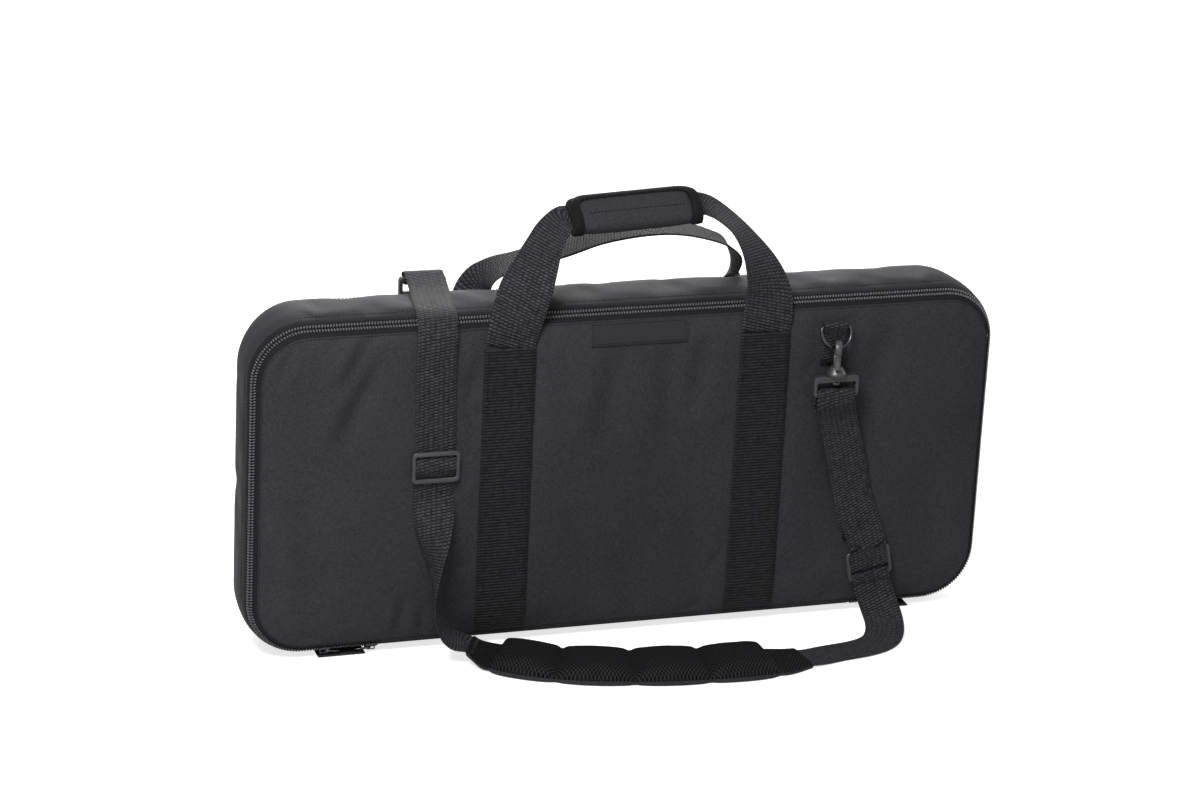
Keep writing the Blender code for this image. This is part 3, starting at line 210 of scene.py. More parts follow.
def woven_cloth(name, dark, light, thread_mm, roughness, gloss, relief):
    material, tree, shader = start_material(name, roughness)
    shader.inputs["Sheen Weight"].default_value = 0.02
    shader.inputs["Sheen Roughness"].default_value = 0.4
    shader.inputs["Specular IOR Level"].default_value = gloss
    place = add_node(tree, "ShaderNodeTexCoord").outputs["Object"]
    pitch_per_metre = 1000.0 / thread_mm
    grains = []
    for stretch in ((1.0, 1.0, 0.35), (0.35, 1.0, 1.0)):
        scaled = [share * pitch_per_metre for share in stretch]
        turned = add_node(tree, "ShaderNodeMapping", {"Scale": scaled}, {"Vector": place})
        grain = add_node(tree, NOISE, {"Scale": 1.0, "Detail": 1.0}, {"Vector": turned.outputs[0]})
        grains.append(grain.outputs["Fac"])
    threads = add_node(tree, MATH, None, {0: grains[0], 1: grains[1]}, operation="ADD")
    cloud = add_node(tree, NOISE, {"Scale": 7.0, "Detail": 3.0}, {"Vector": place})
    grainy = add_node(tree, MATH, {1: 0.60, 2: -0.36}, {0: threads.outputs[0]}, operation="MULTIPLY_ADD")
    uneven = {0: cloud.outputs["Fac"], 2: grainy.outputs[0]}
    shade = add_node(tree, MATH, {1: 0.45}, uneven, operation="MULTIPLY_ADD")
    paint(tree, shader, dark, light, shade.outputs[0], threads.outputs[0], relief, 0.0004)
    return material


nylon = woven_cloth("coated_nylon", "#1f1f21", "#3f3f43", 1.3, 0.58, 0.05, 0.45)
lining_cloth = woven_cloth("lining_taffeta", "#1c1c1f", "#2f2f34", 1.2, 0.5, 0.2, 0.25)
zip_tape_cloth = woven_cloth("twill_zip_tape", "#161618", "#28282a", 1.2, 0.7, 0.05, 0.5)
grosgrain = woven_cloth("grosgrain_binding", "#0d0d0e", "#1b1b1d", 1.6, 0.65, 0.06, 0.6)
print("cloths", nylon.name, lining_cloth.name, zip_tape_cloth.name, grosgrain.name)

# %% [markdown]
# ## Webbing
#
# Polypropylene webbing is woven in columns: each column is a stack of short weft ribs, and the
# next column is a little out of step. The UV map of every strap holds real metres, across and
# along, so the same node tree serves straps of any width. Real ribs are about 2.4 mm apart; they
# are drawn at 3 mm so that they show from here. The colour follows the same relief: the ribs are
# lighter and the grooves between ribs and between columns are dark, which is painted shade. A band
# is one wide column, so it is painted lighter down the middle and darker towards its edges.

# %% Webbing material


def ribbed_webbing(name, dark, light, column_mm, rib_mm, roughness, relief):
    material, tree, shader = start_material(name, roughness)
    shader.inputs["Sheen Weight"].default_value = 0.02
    shader.inputs["Specular IOR Level"].default_value = 0.06
    chart = add_node(tree, "ShaderNodeUVMap", uv_map="metres").outputs[0]
    split = add_node(tree, "ShaderNodeSeparateXYZ", None, {0: chart})
    columns = add_node(tree, MATH, {1: 1000.0 / column_mm}, {0: split.outputs[0]}, operation="MULTIPLY")
    whole = add_node(tree, MATH, None, {0: columns.outputs[0]}, operation="FLOOR")
    ribs = add_node(tree, MATH, {1: 1000.0 / rib_mm}, {0: split.outputs[1]}, operation="MULTIPLY")
    out_of_step = {0: whole.outputs[0], 2: ribs.outputs[0]}
    stepped = add_node(tree, MATH, {1: 0.3}, out_of_step, operation="MULTIPLY_ADD")
    heights = []
    for source in (stepped, columns):
        turn = add_node(tree, MATH, {1: math.pi}, {0: source.outputs[0]}, operation="MULTIPLY")
        wave = add_node(tree, MATH, None, {0: turn.outputs[0]}, operation="SINE")
        size = add_node(tree, MATH, None, {0: wave.outputs[0]}, operation="ABSOLUTE")
        heights.append(size.outputs[0])
    soft = add_node(tree, MATH, {1: 0.22}, {0: heights[1]}, operation="POWER")
    # The colour follows this relief: the grooves between ribs and between columns are painted shade.
    rib_relief_and_shade = add_node(tree, MATH, None, {0: heights[0], 1: soft.outputs[0]}, operation="MULTIPLY")
    place = add_node(tree, "ShaderNodeTexCoord").outputs["Object"]
    wear = add_node(tree, NOISE, {"Scale": 260.0, "Detail": 2.0}, {"Vector": place})
    worn = add_node(tree, MATH, {1: 1.1}, {0: wear.outputs["Fac"]}, operation="MULTIPLY")
    shade = add_node(tree, MATH, None, {0: rib_relief_and_shade.outputs[0], 1: worn.outputs[0]}, operation="MULTIPLY")
    paint(tree, shader, dark, light, shade.outputs[0], rib_relief_and_shade.outputs[0], relief, 0.0007)
    return material


# On the bands the one wide column is painted lighter down the middle and darker towards the edges: painted
# shade.
strap_webbing = ribbed_webbing("polypropylene_strap", "#050506", "#515155", 4.75, 3.0, 0.55, 1.0)
band_webbing = ribbed_webbing("polypropylene_band", "#060607", "#3a3a3d", 80.0, 3.0, 0.6, 0.9)
print("webbing", strap_webbing.name, band_webbing.name)

# %% [markdown]
# ## Spacer mesh, loop pile, thread, plastic and metal
#
# Spacer mesh is a knitted net with open diamonds, which are painted near black: painted shade
# inside the knit. Loop pile is a soft fuzz. Acetal hooks are moulded with a fine grain, the rings
# and sliders are nickel plated dark.

# %% Other materials


def spacer_net(name, hole_painted_shade, strand, wide_mm, tall_mm):
    material, tree, shader = start_material(name, 0.62)
    shader.inputs["Specular IOR Level"].default_value = 0.06
    chart = add_node(tree, "ShaderNodeUVMap", uv_map="metres").outputs[0]
    split = add_node(tree, "ShaderNodeSeparateXYZ", None, {0: chart})
    wide = add_node(tree, MATH, {1: 1000.0 / wide_mm}, {0: split.outputs[0]}, operation="MULTIPLY")
    tall = add_node(tree, MATH, {1: 1000.0 / tall_mm}, {0: split.outputs[1]}, operation="MULTIPLY")
    rows = []
    for joined in ("ADD", "SUBTRACT"):
        line = add_node(tree, MATH, None, {0: wide.outputs[0], 1: tall.outputs[0]}, operation=joined)
        turn = add_node(tree, MATH, {1: math.pi}, {0: line.outputs[0]}, operation="MULTIPLY")
        wave = add_node(tree, MATH, None, {0: turn.outputs[0]}, operation="SINE")
        size = add_node(tree, MATH, None, {0: wave.outputs[0]}, operation="ABSOLUTE")
        rows.append(size.outputs[0])
    # The open diamonds take the near-black hole colour: painted shade inside the knit.
    opening = add_node(tree, MATH, None, {0: rows[0], 1: rows[1]}, operation="MULTIPLY")
    yarn = add_node(
        tree, "ShaderNodeMapRange", {1: 0.12, 2: 0.5, 3: 1.0, 4: 0.0}, {0: opening.outputs[0]},
        interpolation_type="SMOOTHSTEP"
    )
    paint(tree, shader, hole_painted_shade, strand, yarn.outputs[0], yarn.outputs[0], 0.9, 0.0007)
    return material


def grained(name, dark, light, roughness, grain_mm, relief, metallic=0.0, sheen=0.0):
    """A moulded, plated or fuzzy surface whose grain comes from noise of a real size."""
    material, tree, shader = start_material(name, roughness)
    shader.inputs["Metallic"].default_value = metallic
    shader.inputs["Specular IOR Level"].default_value = 0.5 if roughness < 0.5 else 0.15
    shader.inputs["Sheen Weight"].default_value = sheen
    place = add_node(tree, "ShaderNodeTexCoord").outputs["Object"]
    grain = add_node(tree, NOISE, {"Scale": 1000.0 / grain_mm, "Detail": 3.0}, {"Vector": place})
    paint(tree, shader, dark, light, grain.outputs["Fac"], grain.outputs["Fac"], relief, 0.0003)
    return material


# Near-black holes, painted shade; dark grey strands.
pad_net = spacer_net("spacer_mesh", "#020203", "#2a2a2c", 4.6, 3.4)
loop_pile = grained("loop_pile", "#1c1c1e", "#363639", 0.95, 0.9, 0.9, sheen=0.1)
thread = grained("bonded_thread", "#0c0c0d", "#1a1a1c", 0.55, 0.8, 0.2)
acetal = grained("moulded_acetal", "#2a2a2c", "#363638", 0.36, 0.7, 0.12)
nickel = grained("dark_nickel", "#3c3c3f", "#4c4c50", 0.26, 2.0, 0.04, metallic=1.0)
# The coil is painted lighter than its tape and the cloth: a painted highlight on the teeth.
coil_nylon_painted_highlight = grained("nylon_coil_painted_highlight", "#38383b", "#5a5a5e", 0.28, 1.4, 0.1)
foam_skin = grained("foam_in_lining", "#232327", "#303034", 0.85, 1.2, 0.3)
print("materials", len(bpy.data.materials))

# %% [markdown]
# ## Making pieces
#
# Every finished piece is a mesh at the origin. `add_mesh` links it, and `hand_over` gives it to the
# body it rides on and hides the solids it stands for. A UV map called metres holds real distances.
# Most pieces are rings of points joined in turn, or a sheet with a second one behind it.

# %% Piece helper
made = []


def add_mesh(name, points, faces, material, chart=None):
    mesh = bpy.data.meshes.new(name)
    mesh.from_pydata([tuple(point) for point in points], [], faces)
    mesh.materials.append(material)
    if chart is not None:
        layer = mesh.uv_layers.new(name="metres")
        corner = np.empty(len(mesh.loops), dtype=np.int32)
        mesh.loops.foreach_get("vertex_index", corner)
        layer.uv.foreach_set("vector", np.asarray(chart, dtype=np.float32)[corner].ravel())
    mesh.shade_smooth()
    mesh.update()
    piece = bpy.data.objects.new(name, mesh)
    bpy.context.scene.collection.objects.link(piece)
    return piece


def fix_normals(piece):
    shape = bmesh.new()
    shape.from_mesh(piece.data)
    bmesh.ops.recalc_face_normals(shape, faces=shape.faces)
    shape.to_mesh(piece.data)
    shape.free()


def hand_over(piece, body, slot, *nodes):
    """The piece rides on a body and stands for these solids, which it hides; slot is not used."""
    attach(piece, body)
    if nodes:
        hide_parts(*nodes)
    made.append(piece.name)
    return piece


def bake_modifiers(piece):
    """Turn a piece's modifiers into its plain mesh."""
    graph = bpy.context.evaluated_depsgraph_get()
    graph.update()
    mesh = bpy.data.meshes.new_from_object(piece.evaluated_get(graph))
    piece.modifiers.clear()
    piece.data = mesh
    return piece


def round_off(piece, levels):
    """Subdivide a piece and keep the result as its plain mesh."""
    finer = piece.modifiers.new("smooth", "SUBSURF")
    finer.levels = levels
    finer.render_levels = levels
    return bake_modifiers(piece)


def ring_faces(rings, count, closed):
    """Faces between rings of points, which either close on themselves or end in flat caps."""
    faces = []
    for row in range(rings if closed else rings - 1):
        near, far = row * count, (row + 1) % rings * count
        for step in range(count):
            nearby = (step + 1) % count
            faces.append((near + step, near + nearby, far + nearby, far + step))
    if not closed:
        faces.append(tuple(range(count)))
        faces.append(tuple((rings - 1) * count + step for step in range(count - 1, -1, -1)))
    return faces


def grid_faces(rows, columns):
    faces = []
    for row in range(rows - 1):
        for column in range(columns - 1):
            first = row * columns + column
            faces.append((first, first + 1, first + columns + 1, first + columns))
    return faces


def shell_faces(sheet, rows, columns):
    """A sheet's faces, with those of a second sheet behind it and the walls between."""
    size = rows * columns
    behind = [tuple(size + index for index in face[::-1]) for face in sheet]
    rim = (
        list(range(columns)) + [row * columns + columns - 1 for row in range(1, rows)]
        + [(rows - 1) * columns + column for column in range(columns - 2, -1, -1)]
        + [row * columns for row in range(rows - 2, 0, -1)]
    )
    walls = [(first, second, second + size, first + size) for first, second in zip(rim, rim[1:] + rim[:1])]
    return sheet + behind + walls


print("helpers ready")

# %% [markdown]
# ## The shape of the case
#
# The lid's seam is a rounded rectangle. Everything else is measured from it: depth runs back from
# the seam plane, and out runs away from the seam in that plane.

# %% Seam outline
SEAM_HALF = 0.363
SEAM_LOW = 0.013
SEAM_HIGH = 0.320
CORNER = 0.045
FRONT = -0.048
DEPTH = 0.096
BACK_DEPTH = 0.0966
BACK_TAPER = 0.010
PANEL_FLAT = 0.0068
CORNER_STEPS = 14
EDGE_STEP = 0.007


def taper(depth):
    return 1.0 - depth / DEPTH * BACK_TAPER / SEAM_HALF


def straight(first, second, step):
    count = max(int(round((second - first).length / step)), 1)
    return [first.lerp(second, index / count) for index in range(1, count)]


def seam_loop():
    """(x, z) points round the seam, counter-clockwise from the right side's top, with outward normals."""
    corners = (
        (SEAM_HALF - CORNER, SEAM_HIGH - CORNER, 0),
        (CORNER - SEAM_HALF, SEAM_HIGH - CORNER, 90),
        (CORNER - SEAM_HALF, SEAM_LOW + CORNER, 180),
        (SEAM_HALF - CORNER, SEAM_LOW + CORNER, 270),
    )
    loop = []
    for centre_x, centre_z, start in corners:
        arc = []
        for step in range(CORNER_STEPS + 1):
            angle = math.radians(start + 90 * step / CORNER_STEPS)
            normal = Vector((math.cos(angle), math.sin(angle)))
            arc.append((Vector((centre_x, centre_z)) + CORNER * normal, normal))
        if loop:
            loop += [(point, loop[-1][1]) for point in straight(loop[-1][0], arc[0][0], EDGE_STEP)]
        loop += arc
    loop += [(point, loop[0][1]) for point in straight(loop[-1][0], loop[0][0], EDGE_STEP)]
    return loop


def off_seam(point, normal, depth, out):
    """World place at a depth and a distance out from a seam point, never below the floor."""
    place = point + normal * out
    return Vector((place.x * taper(depth), FRONT + depth, max(place.y, 0.0002)))


def zip_line(end_x):
    """The open stretch of the seam that the zip follows, from bottom left to bottom right."""
    loop = seam_loop()
    size = len(loop)
    low = [i for i, (point, normal) in enumerate(loop) if normal.y < -0.999 and abs(point.x) < end_x]
    start = max(low) + 1
    line = [loop[(start + step) % size] for step in range(size - len(low))]
    down = Vector((0.0, -1.0))
    first = (Vector((end_x, SEAM_LOW)), down)
    last = (Vector((-end_x, SEAM_LOW)), down)
    return [first] + line + [last]


SEAM = seam_loop()
print("seam points", len(SEAM))

# %% [markdown]
# ## Rows of stitches and zip teeth
#
# A stitch row and a zip coil are the same idea: one small bead repeated along a path. A Geometry
# Nodes tree does both. It turns edges into a curve, resamples it at the pitch, and puts a stretched
# bead on each point, turned along the path and towards the side the path faces.

# %% Bead row tree
row_tree = bpy.data.node_groups.new("row_of_beads", "GeometryNodeTree")
sockets = row_tree.interface
sockets.new_socket("Path", in_out="INPUT", socket_type="NodeSocketGeometry")
for label in ("Pitch", "Along", "Across", "Height", "Slant"):
    sockets.new_socket(label, in_out="INPUT", socket_type="NodeSocketFloat")
sockets.new_socket("Finish", in_out="INPUT", socket_type="NodeSocketMaterial")
sockets.new_socket("Row", in_out="OUTPUT", socket_type="NodeSocketGeometry")
given = add_node(row_tree, "NodeGroupInput").outputs
curve = add_node(row_tree, "GeometryNodeMeshToCurve", None, {"Mesh": given["Path"]})
spacing = {"Curve": curve.outputs[0], "Length": given["Pitch"]}
spaced = add_node(row_tree, "GeometryNodeResampleCurve", None, spacing, mode="LENGTH")
facing = add_node(row_tree, "GeometryNodeInputNamedAttribute", {"Name": "facing"}, data_type="FLOAT_VECTOR")
tangent = add_node(row_tree, "GeometryNodeInputTangent")
ALIGN = "FunctionNodeAlignRotationToVector"
ahead = add_node(row_tree, ALIGN, None, {"Vector": tangent.outputs[0]}, axis="X")
turned = {"Rotation": ahead.outputs[0], "Vector": facing.outputs[0]}
upright = add_node(row_tree, ALIGN, None, turned, axis="Z", pivot_axis="X")
upward_axis = {"Axis": (0.0, 0.0, 1.0)}
lean = add_node(row_tree, "FunctionNodeAxisAngleToRotation", upward_axis, {"Angle": given["Slant"]})
leaning = add_node(
    row_tree, "FunctionNodeRotateRotation", None,
    {"Rotation": upright.outputs[0], "Rotate By": lean.outputs[0]}, rotation_space="LOCAL"
)
bead = add_node(row_tree, "GeometryNodeMeshUVSphere", {"Segments": 7, "Rings": 5, "Radius": 0.5})
smooth_bead = add_node(row_tree, "GeometryNodeSetShadeSmooth", None, {0: bead.outputs[0]})
measure = add_node(
    row_tree, "ShaderNodeCombineXYZ", None, {0: given["Along"], 1: given["Across"], 2: given["Height"]}
)
placed = add_node(
    row_tree, "GeometryNodeInstanceOnPoints", None,
    {
        "Points": spaced.outputs[0], "Instance": smooth_bead.outputs[0],
        "Rotation": leaning.outputs[0], "Scale": measure.outputs[0],
    }
)
solid = add_node(row_tree, "GeometryNodeRealizeInstances", None, {0: placed.outputs[0]})
dressed = add_node(
    row_tree, "GeometryNodeSetMaterial", None, {"Geometry": solid.outputs[0], "Material": given["Finish"]}
)
add_node(row_tree, "NodeGroupOutput", None, {0: dressed.outputs[0]})
row_inputs = {item.name: item.identifier for item in sockets.items_tree if item.in_out == "INPUT"}


def bead_row(name, paths, pitch, along, across, height, finish, slant=0.0):
    """Beads along paths of (point, facing), as one plain mesh."""
    points = [place for path in paths for place, side in path]
    sides = [side for path in paths for place, side in path]
    edges = []
    start = 0
    for path in paths:
        edges += [(start + step, start + step + 1) for step in range(len(path) - 1)]
        start += len(path)
    mesh = bpy.data.meshes.new(name)
    mesh.from_pydata([tuple(point) for point in points], edges, [])
    attribute = mesh.attributes.new("facing", "FLOAT_VECTOR", "POINT")
    attribute.data.foreach_set("vector", np.asarray([tuple(side) for side in sides], np.float32).ravel())
    piece = bpy.data.objects.new(name, mesh)
    bpy.context.scene.collection.objects.link(piece)
    modifier = piece.modifiers.new("row", "NODES")
    modifier.node_group = row_tree
    sizes = {"Pitch": pitch, "Along": along, "Across": across, "Height": height, "Slant": slant}
    for label, value in sizes.items():
        modifier[row_inputs[label]] = value
    modifier[row_inputs["Finish"]] = finish
    return bake_modifiers(piece)


STITCH = {"pitch": 0.0036, "along": 0.0030, "across": 0.0008, "height": 0.0007}


def stitch_rows(name, paths, body, slot):
    return hand_over(bead_row(name, paths, finish=thread, **STITCH), body, slot)


print("row inputs", sorted(row_inputs))

# %% [markdown]
# ## Cloth that has settled
#
# Padded cloth is cut a little larger than what it covers, so it puckers where it is sewn down. A
# short cloth simulation does this: the sheet is pinned where it is sewn, made slightly too big and
# pushed out by a light pressure. How far a point may move is capped, so neighbours stay clear.

# %% Cloth settling


SETTLE_FRAMES = 20


def settle(piece, pinned, extra, pressure):
    """Run cloth on a piece and return how far each vertex moved."""
    before = np.array([vertex.co[:] for vertex in piece.data.vertices])
    sewn = piece.vertex_groups.new(name="sewn")
    sewn.add([int(index) for index in np.flatnonzero(pinned)], 1.0, "REPLACE")
    cloth = piece.modifiers.new("cloth", "CLOTH")
    cloth.settings.quality = 6
    cloth.settings.mass = 0.15
    cloth.settings.bending_stiffness = 4.0
    cloth.settings.vertex_group_mass = "sewn"
    cloth.settings.shrink_min = -extra
    cloth.settings.shrink_max = -extra
    cloth.settings.use_pressure = True
    cloth.settings.uniform_pressure_force = pressure
    cloth.settings.effector_weights.gravity = 0.0
    cloth.collision_settings.use_collision = False
    cloth.point_cache.frame_start = 1
    cloth.point_cache.frame_end = SETTLE_FRAMES
    for frame_number in range(1, SETTLE_FRAMES + 1):
        bpy.context.scene.frame_set(frame_number)
    graph = bpy.context.evaluated_depsgraph_get()
    settled = piece.evaluated_get(graph)
    after = np.array([vertex.co[:] for vertex in settled.data.vertices])
    piece.modifiers.clear()
    piece.vertex_groups.clear()
    bpy.context.scene.frame_set(1)
    return after - before


def shift_points(piece, push):
    for vertex, shift in zip(piece.data.vertices, push):
        vertex.co = vertex.co + Vector(shift)


print("quick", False)

# %% [markdown]
# ## Padded panels
#
# The lid and the back are padded panels that roll off towards their seams. Each is a grid whose
# rows follow the rounded outline. Soft folds are drawn where the photograph shows them, as shallow
# valleys along short lines, and the cloth settling adds the small puckers between.

# %% Panel grid
ROW_STEP = 0.005
CROWN_EDGE = 0.0008
CROWN_RISE = 0.006
CROWN_REACH = 0.032
DEEPEST_PUCKER = 0.0024
SEWN_EDGE = 0.009
SEWN_MARGIN, SEWN_FADE = 0.012, 0.010


def seam_distance(x, z):
    """How far inside the seam a place is."""
    over_x = np.abs(x) - (SEAM_HALF - CORNER)
    over_z = np.abs(z - (SEAM_LOW + SEAM_HIGH) / 2) - ((SEAM_HIGH - SEAM_LOW) / 2 - CORNER)
    outside = np.hypot(np.maximum(over_x, 0.0), np.maximum(over_z, 0.0))
    return CORNER - outside - np.minimum(np.maximum(over_x, over_z), 0.0)


def crown(distance):
    """Height of the padding above the seam plane."""
    share = np.clip(distance / CROWN_REACH, 0.0, 1.0)
    return CROWN_EDGE + CROWN_RISE * np.sin(share * math.pi / 2) ** 0.75


def panel_rows():
    """Heights of the grid rows and the half width of each."""
    rows = []
    for step in range(12):
        angle = math.radians(90 * step / 12)
        rows.append((SEAM_LOW + CORNER * (1 - math.cos(angle)), SEAM_HALF - CORNER * (1 - math.sin(angle))))
    count = int((SEAM_HIGH - SEAM_LOW - 2 * CORNER) / ROW_STEP)
    for step in range(count + 1):
        share = step / count
        rows.append((SEAM_LOW + CORNER + share * (SEAM_HIGH - SEAM_LOW - 2 * CORNER), SEAM_HALF))
    mirrored = [(SEAM_LOW + SEAM_HIGH - z, half) for z, half in rows[11::-1]]
    return rows + mirrored


ROWS = panel_rows()
COLUMNS = 146


def panel_grid():
    x = np.array([[half * (2 * step / COLUMNS - 1) for step in range(COLUMNS + 1)] for z, half in ROWS])
    z = np.array([[height] * (COLUMNS + 1) for height, half in ROWS])
    return x, z


def fold(x, z, start, end, width, depth):
    """A shallow valley along a line, fading out at both ends."""
    line = np.array(end) - np.array(start)
    length = np.hypot(*line)
    along = ((x - start[0]) * line[0] + (z - start[1]) * line[1]) / length ** 2
    off = ((x - start[0]) * line[1] - (z - start[1]) * line[0]) / length
    fade = np.sin(np.clip(along, 0.0, 1.0) * math.pi) ** 0.7
    valley = np.exp(-((off / width) ** 2))
    ridge = np.exp(-(((off - 1.6 * width) / width) ** 2))
    return depth * fade * (0.35 * ridge - valley)


def padded_panel(name, outwards, base_depth, folds, sewn_under, body, node):
    """A closed padded panel. outwards is -1 for the lid and 1 for the back."""
    x, z = panel_grid()
    inside = seam_distance(x, z)
    rise = crown(inside)
    free = np.clip(inside / SEWN_EDGE, 0.0, 1.0)
    covered = np.zeros_like(x)
    for centre, half, low, high in sewn_under:
        near_x = np.clip((half + SEWN_MARGIN - np.abs(x - centre)) / SEWN_FADE, 0.0, 1.0)
        near_z = np.clip(np.minimum(z - low, high - z) / SEWN_FADE + 1.0, 0.0, 1.0)
        covered = np.maximum(covered, near_x * near_z)
    free *= 1.0 - covered
    drawn = sum(fold(x, z, *item) for item in folds)
    drawn = drawn + 0.0009 * np.sin(x * 47.0 + 2.5 * np.sin(z * 15.0)) * np.cos(z * 11.0 - 1.2)
    narrow = taper(DEPTH) if outwards > 0 else 1.0
    face_y = FRONT + base_depth + outwards * np.maximum(rise + free * drawn, CROWN_EDGE)
    front_points = np.stack([x * narrow, face_y, z], axis=-1).reshape(-1, 3)
    rows, columns = x.shape
    faces = grid_faces(rows, columns)
    if outwards > 0:
        faces = [face[::-1] for face in faces]
    sheet = add_mesh(name + "_sheet", front_points, faces, nylon)
    moved = settle(sheet, (free < 0.05).ravel(), 0.022, 2.0)
    push = np.clip(moved[:, 1] * outwards, -DEEPEST_PUCKER, CROWN_EDGE) * free.ravel()
    front_points[:, 1] += outwards * push
    bpy.data.objects.remove(sheet)
    back_points = front_points.copy()
    back_points[:, 1] = FRONT + base_depth
    piece = add_mesh(name, np.vstack([front_points, back_points]), shell_faces(faces, rows, columns), nylon)
    fix_normals(piece)
    hand_over(round_off(piece, 1), body, "cloth", node)
    print(name, "largest pucker", round(float(np.abs(push).max()) * 1000, 2), "mm")
    return piece


LID_FOLDS = (
    ((-0.258, 0.322), (-0.290, 0.262), 0.008, 0.0052),
    ((-0.246, 0.308), (-0.290, 0.205), 0.011, 0.0064),
    ((-0.143, 0.314), (-0.166, 0.245), 0.008, 0.0046),
    ((-0.335, 0.165), (-0.292, 0.060), 0.016, 0.0046),
    ((-0.222, 0.060), (-0.227, 0.012), 0.006, 0.0042),
    ((-0.205, 0.048), (-0.202, 0.012), 0.005, 0.0036),
    ((-0.018, 0.305), (-0.032, 0.190), 0.014, 0.0046),
    ((0.030, 0.305), (0.038, 0.180), 0.014, 0.0040),
    ((0.068, 0.305), (0.056, 0.215), 0.010, 0.0036),
    ((-0.070, 0.135), (-0.022, 0.025), 0.016, 0.0052),
    ((-0.014, 0.085), (0.014, 0.012), 0.012, 0.0042),
    ((0.055, 0.125), (0.080, 0.022), 0.014, 0.0036),
    ((0.224, 0.290), (0.214, 0.050), 0.030, 0.0050),
    ((0.262, 0.316), (0.236, 0.200), 0.016, 0.0044),
    ((0.290, 0.140), (0.335, 0.050), 0.016, 0.0040),
)
BAND_X = 0.127
BAND_HALF = 0.025
LID_SEWN = (
    (-BAND_X, BAND_HALF, 0.0, 0.34), (BAND_X, BAND_HALF, 0.0, 0.34),
    (0.0, 0.0485, 0.296, 0.32), (0.197, 0.0125, 0.262, 0.310),
)
padded_panel("lid_cover", -1, 0.0, LID_FOLDS, LID_SEWN, "lid", "lid_panel")
BACK_FOLDS = (
    ((-0.260, 0.250), (-0.290, 0.120), 0.014, 0.0016),
    ((0.020, 0.290), (0.000, 0.160), 0.014, 0.0016),
    ((0.240, 0.230), (0.290, 0.110), 0.014, 0.0016),
    ((-0.040, 0.120), (0.030, 0.040), 0.012, 0.0016),
)
BACK_SEWN = (
    (-BAND_X, BAND_HALF, 0.0, 0.34), (BAND_X, BAND_HALF, 0.0, 0.34), (-0.178, 0.0125, 0.258, 0.310),
)
padded_panel("back_cover", 1, BACK_DEPTH, BACK_FOLDS, BACK_SEWN, "case", "back_panel")

# %% [markdown]
# ## Gusset
#
# The band that makes the case deep is one long padded strip sewn to the back panel and to the zip.
# It bulges a little between its seams. The profile is a smooth curve, swept round the seam line and
# drawn in towards the back; the settled cloth gives it a few puckers.

# %% Gusset cover


def smooth_line(values, steps):
    """Points on a Catmull-Rom curve through the given vectors."""
    padded = [2 * values[0] - values[1]] + values + [2 * values[-1] - values[-2]]
    smooth = []
    for index in range(1, len(padded) - 2):
        before, start, end, after = padded[index - 1:index + 3]
        for step in range(steps):
            t = step / steps
            smooth.append(
                0.5 * (
                    2 * start + (end - before) * t + (2 * before - 5 * start + 4 * end - after) * t * t
                    + (3 * start - before - 3 * end + after) * t * t * t
                )
            )
    return smooth + [values[-1]]


GUSSET_LINE = (
    (0.0158, 0.0078), (0.0174, 0.0092), (0.0188, 0.0105), (0.0225, 0.0112), (0.032, 0.0130),
    (0.048, 0.0133), (0.064, 0.0130), (0.076, 0.0106), (0.086, 0.0072), (0.0930, 0.0030), (0.0970, 0.0004),
)
GUSSET_WALL = 0.0017
gusset_profile = [(v.x, v.y) for v in smooth_line([Vector(item) for item in GUSSET_LINE], 2)]


def sweep_loop(profile, line, closed):
    """Points and faces of a closed profile swept along seam points."""
    points = [off_seam(point, normal, depth, out) for point, normal in line for depth, out in profile]
    return points, ring_faces(len(line), len(profile), closed)


inner_profile = [(depth, out - GUSSET_WALL) for depth, out in gusset_profile[::-1]]
points, faces = sweep_loop(gusset_profile + inner_profile, SEAM, True)
gusset_cover = add_mesh("gusset_cover", points, faces, nylon)
fix_normals(gusset_cover)
count = len(gusset_profile)
ring = np.arange(len(points)) % (2 * count)
outer = (ring > 2) & (ring < count - 1)
resting = np.array([place.z < 0.004 for place in points])
moved = settle(gusset_cover, ~outer | resting, 0.010, 1.0)
push = np.clip(moved, -0.0009, 0.0009) * (outer & ~resting)[:, None]
shift_points(gusset_cover, push)
hand_over(round_off(gusset_cover, 1), "case", "cloth", "gusset")
print("gusset", len(gusset_cover.data.vertices))

# %% [markdown]
# ## Zip
#
# Two twill tapes slope from the lid's seam up to the gusset's edge, and a nylon coil is sewn to each.
# The coil is a row of slanted beads, two rows leaning into each other. The zip stops at the bottom,
# where a strip of cloth is the hinge.

# %% Zip tapes, teeth and hinge
BAND_DEPTH, BAND_OUT = 0.017, 0.010
BAND_LENGTH = math.hypot(BAND_DEPTH, BAND_OUT)
ALONG = (BAND_DEPTH / BAND_LENGTH, BAND_OUT / BAND_LENGTH)
ZIP_END = 0.2435


def on_band(along, out):
    """(depth, out) of a place on the sloping zip band."""
    return along * ALONG[0] - out * ALONG[1], along * ALONG[1] + out * ALONG[0]


def band_strip(name, start, end, thickness, line, material, body, slot, node):
    profile = [
        on_band(start, 0.0), on_band((start + end) / 2, -0.0001), on_band(end, 0.0),
        on_band(end, thickness), on_band((start + end) / 2, thickness), on_band(start, thickness),
    ]
    points, faces = sweep_loop(profile, line, False)
    piece = add_mesh(name, points, faces, material)
    fix_normals(piece)
    return hand_over(piece, body, slot, node)


def band_path(along, out, line):
    """A path on the zip band with the way it faces."""
    depth, away = on_band(along, out)
    path = []
    for point, normal in line:
        facing = Vector((normal.x * ALONG[0], -ALONG[1], normal.y * ALONG[0]))
        path.append((off_seam(point, normal, depth, away), facing))
    return path


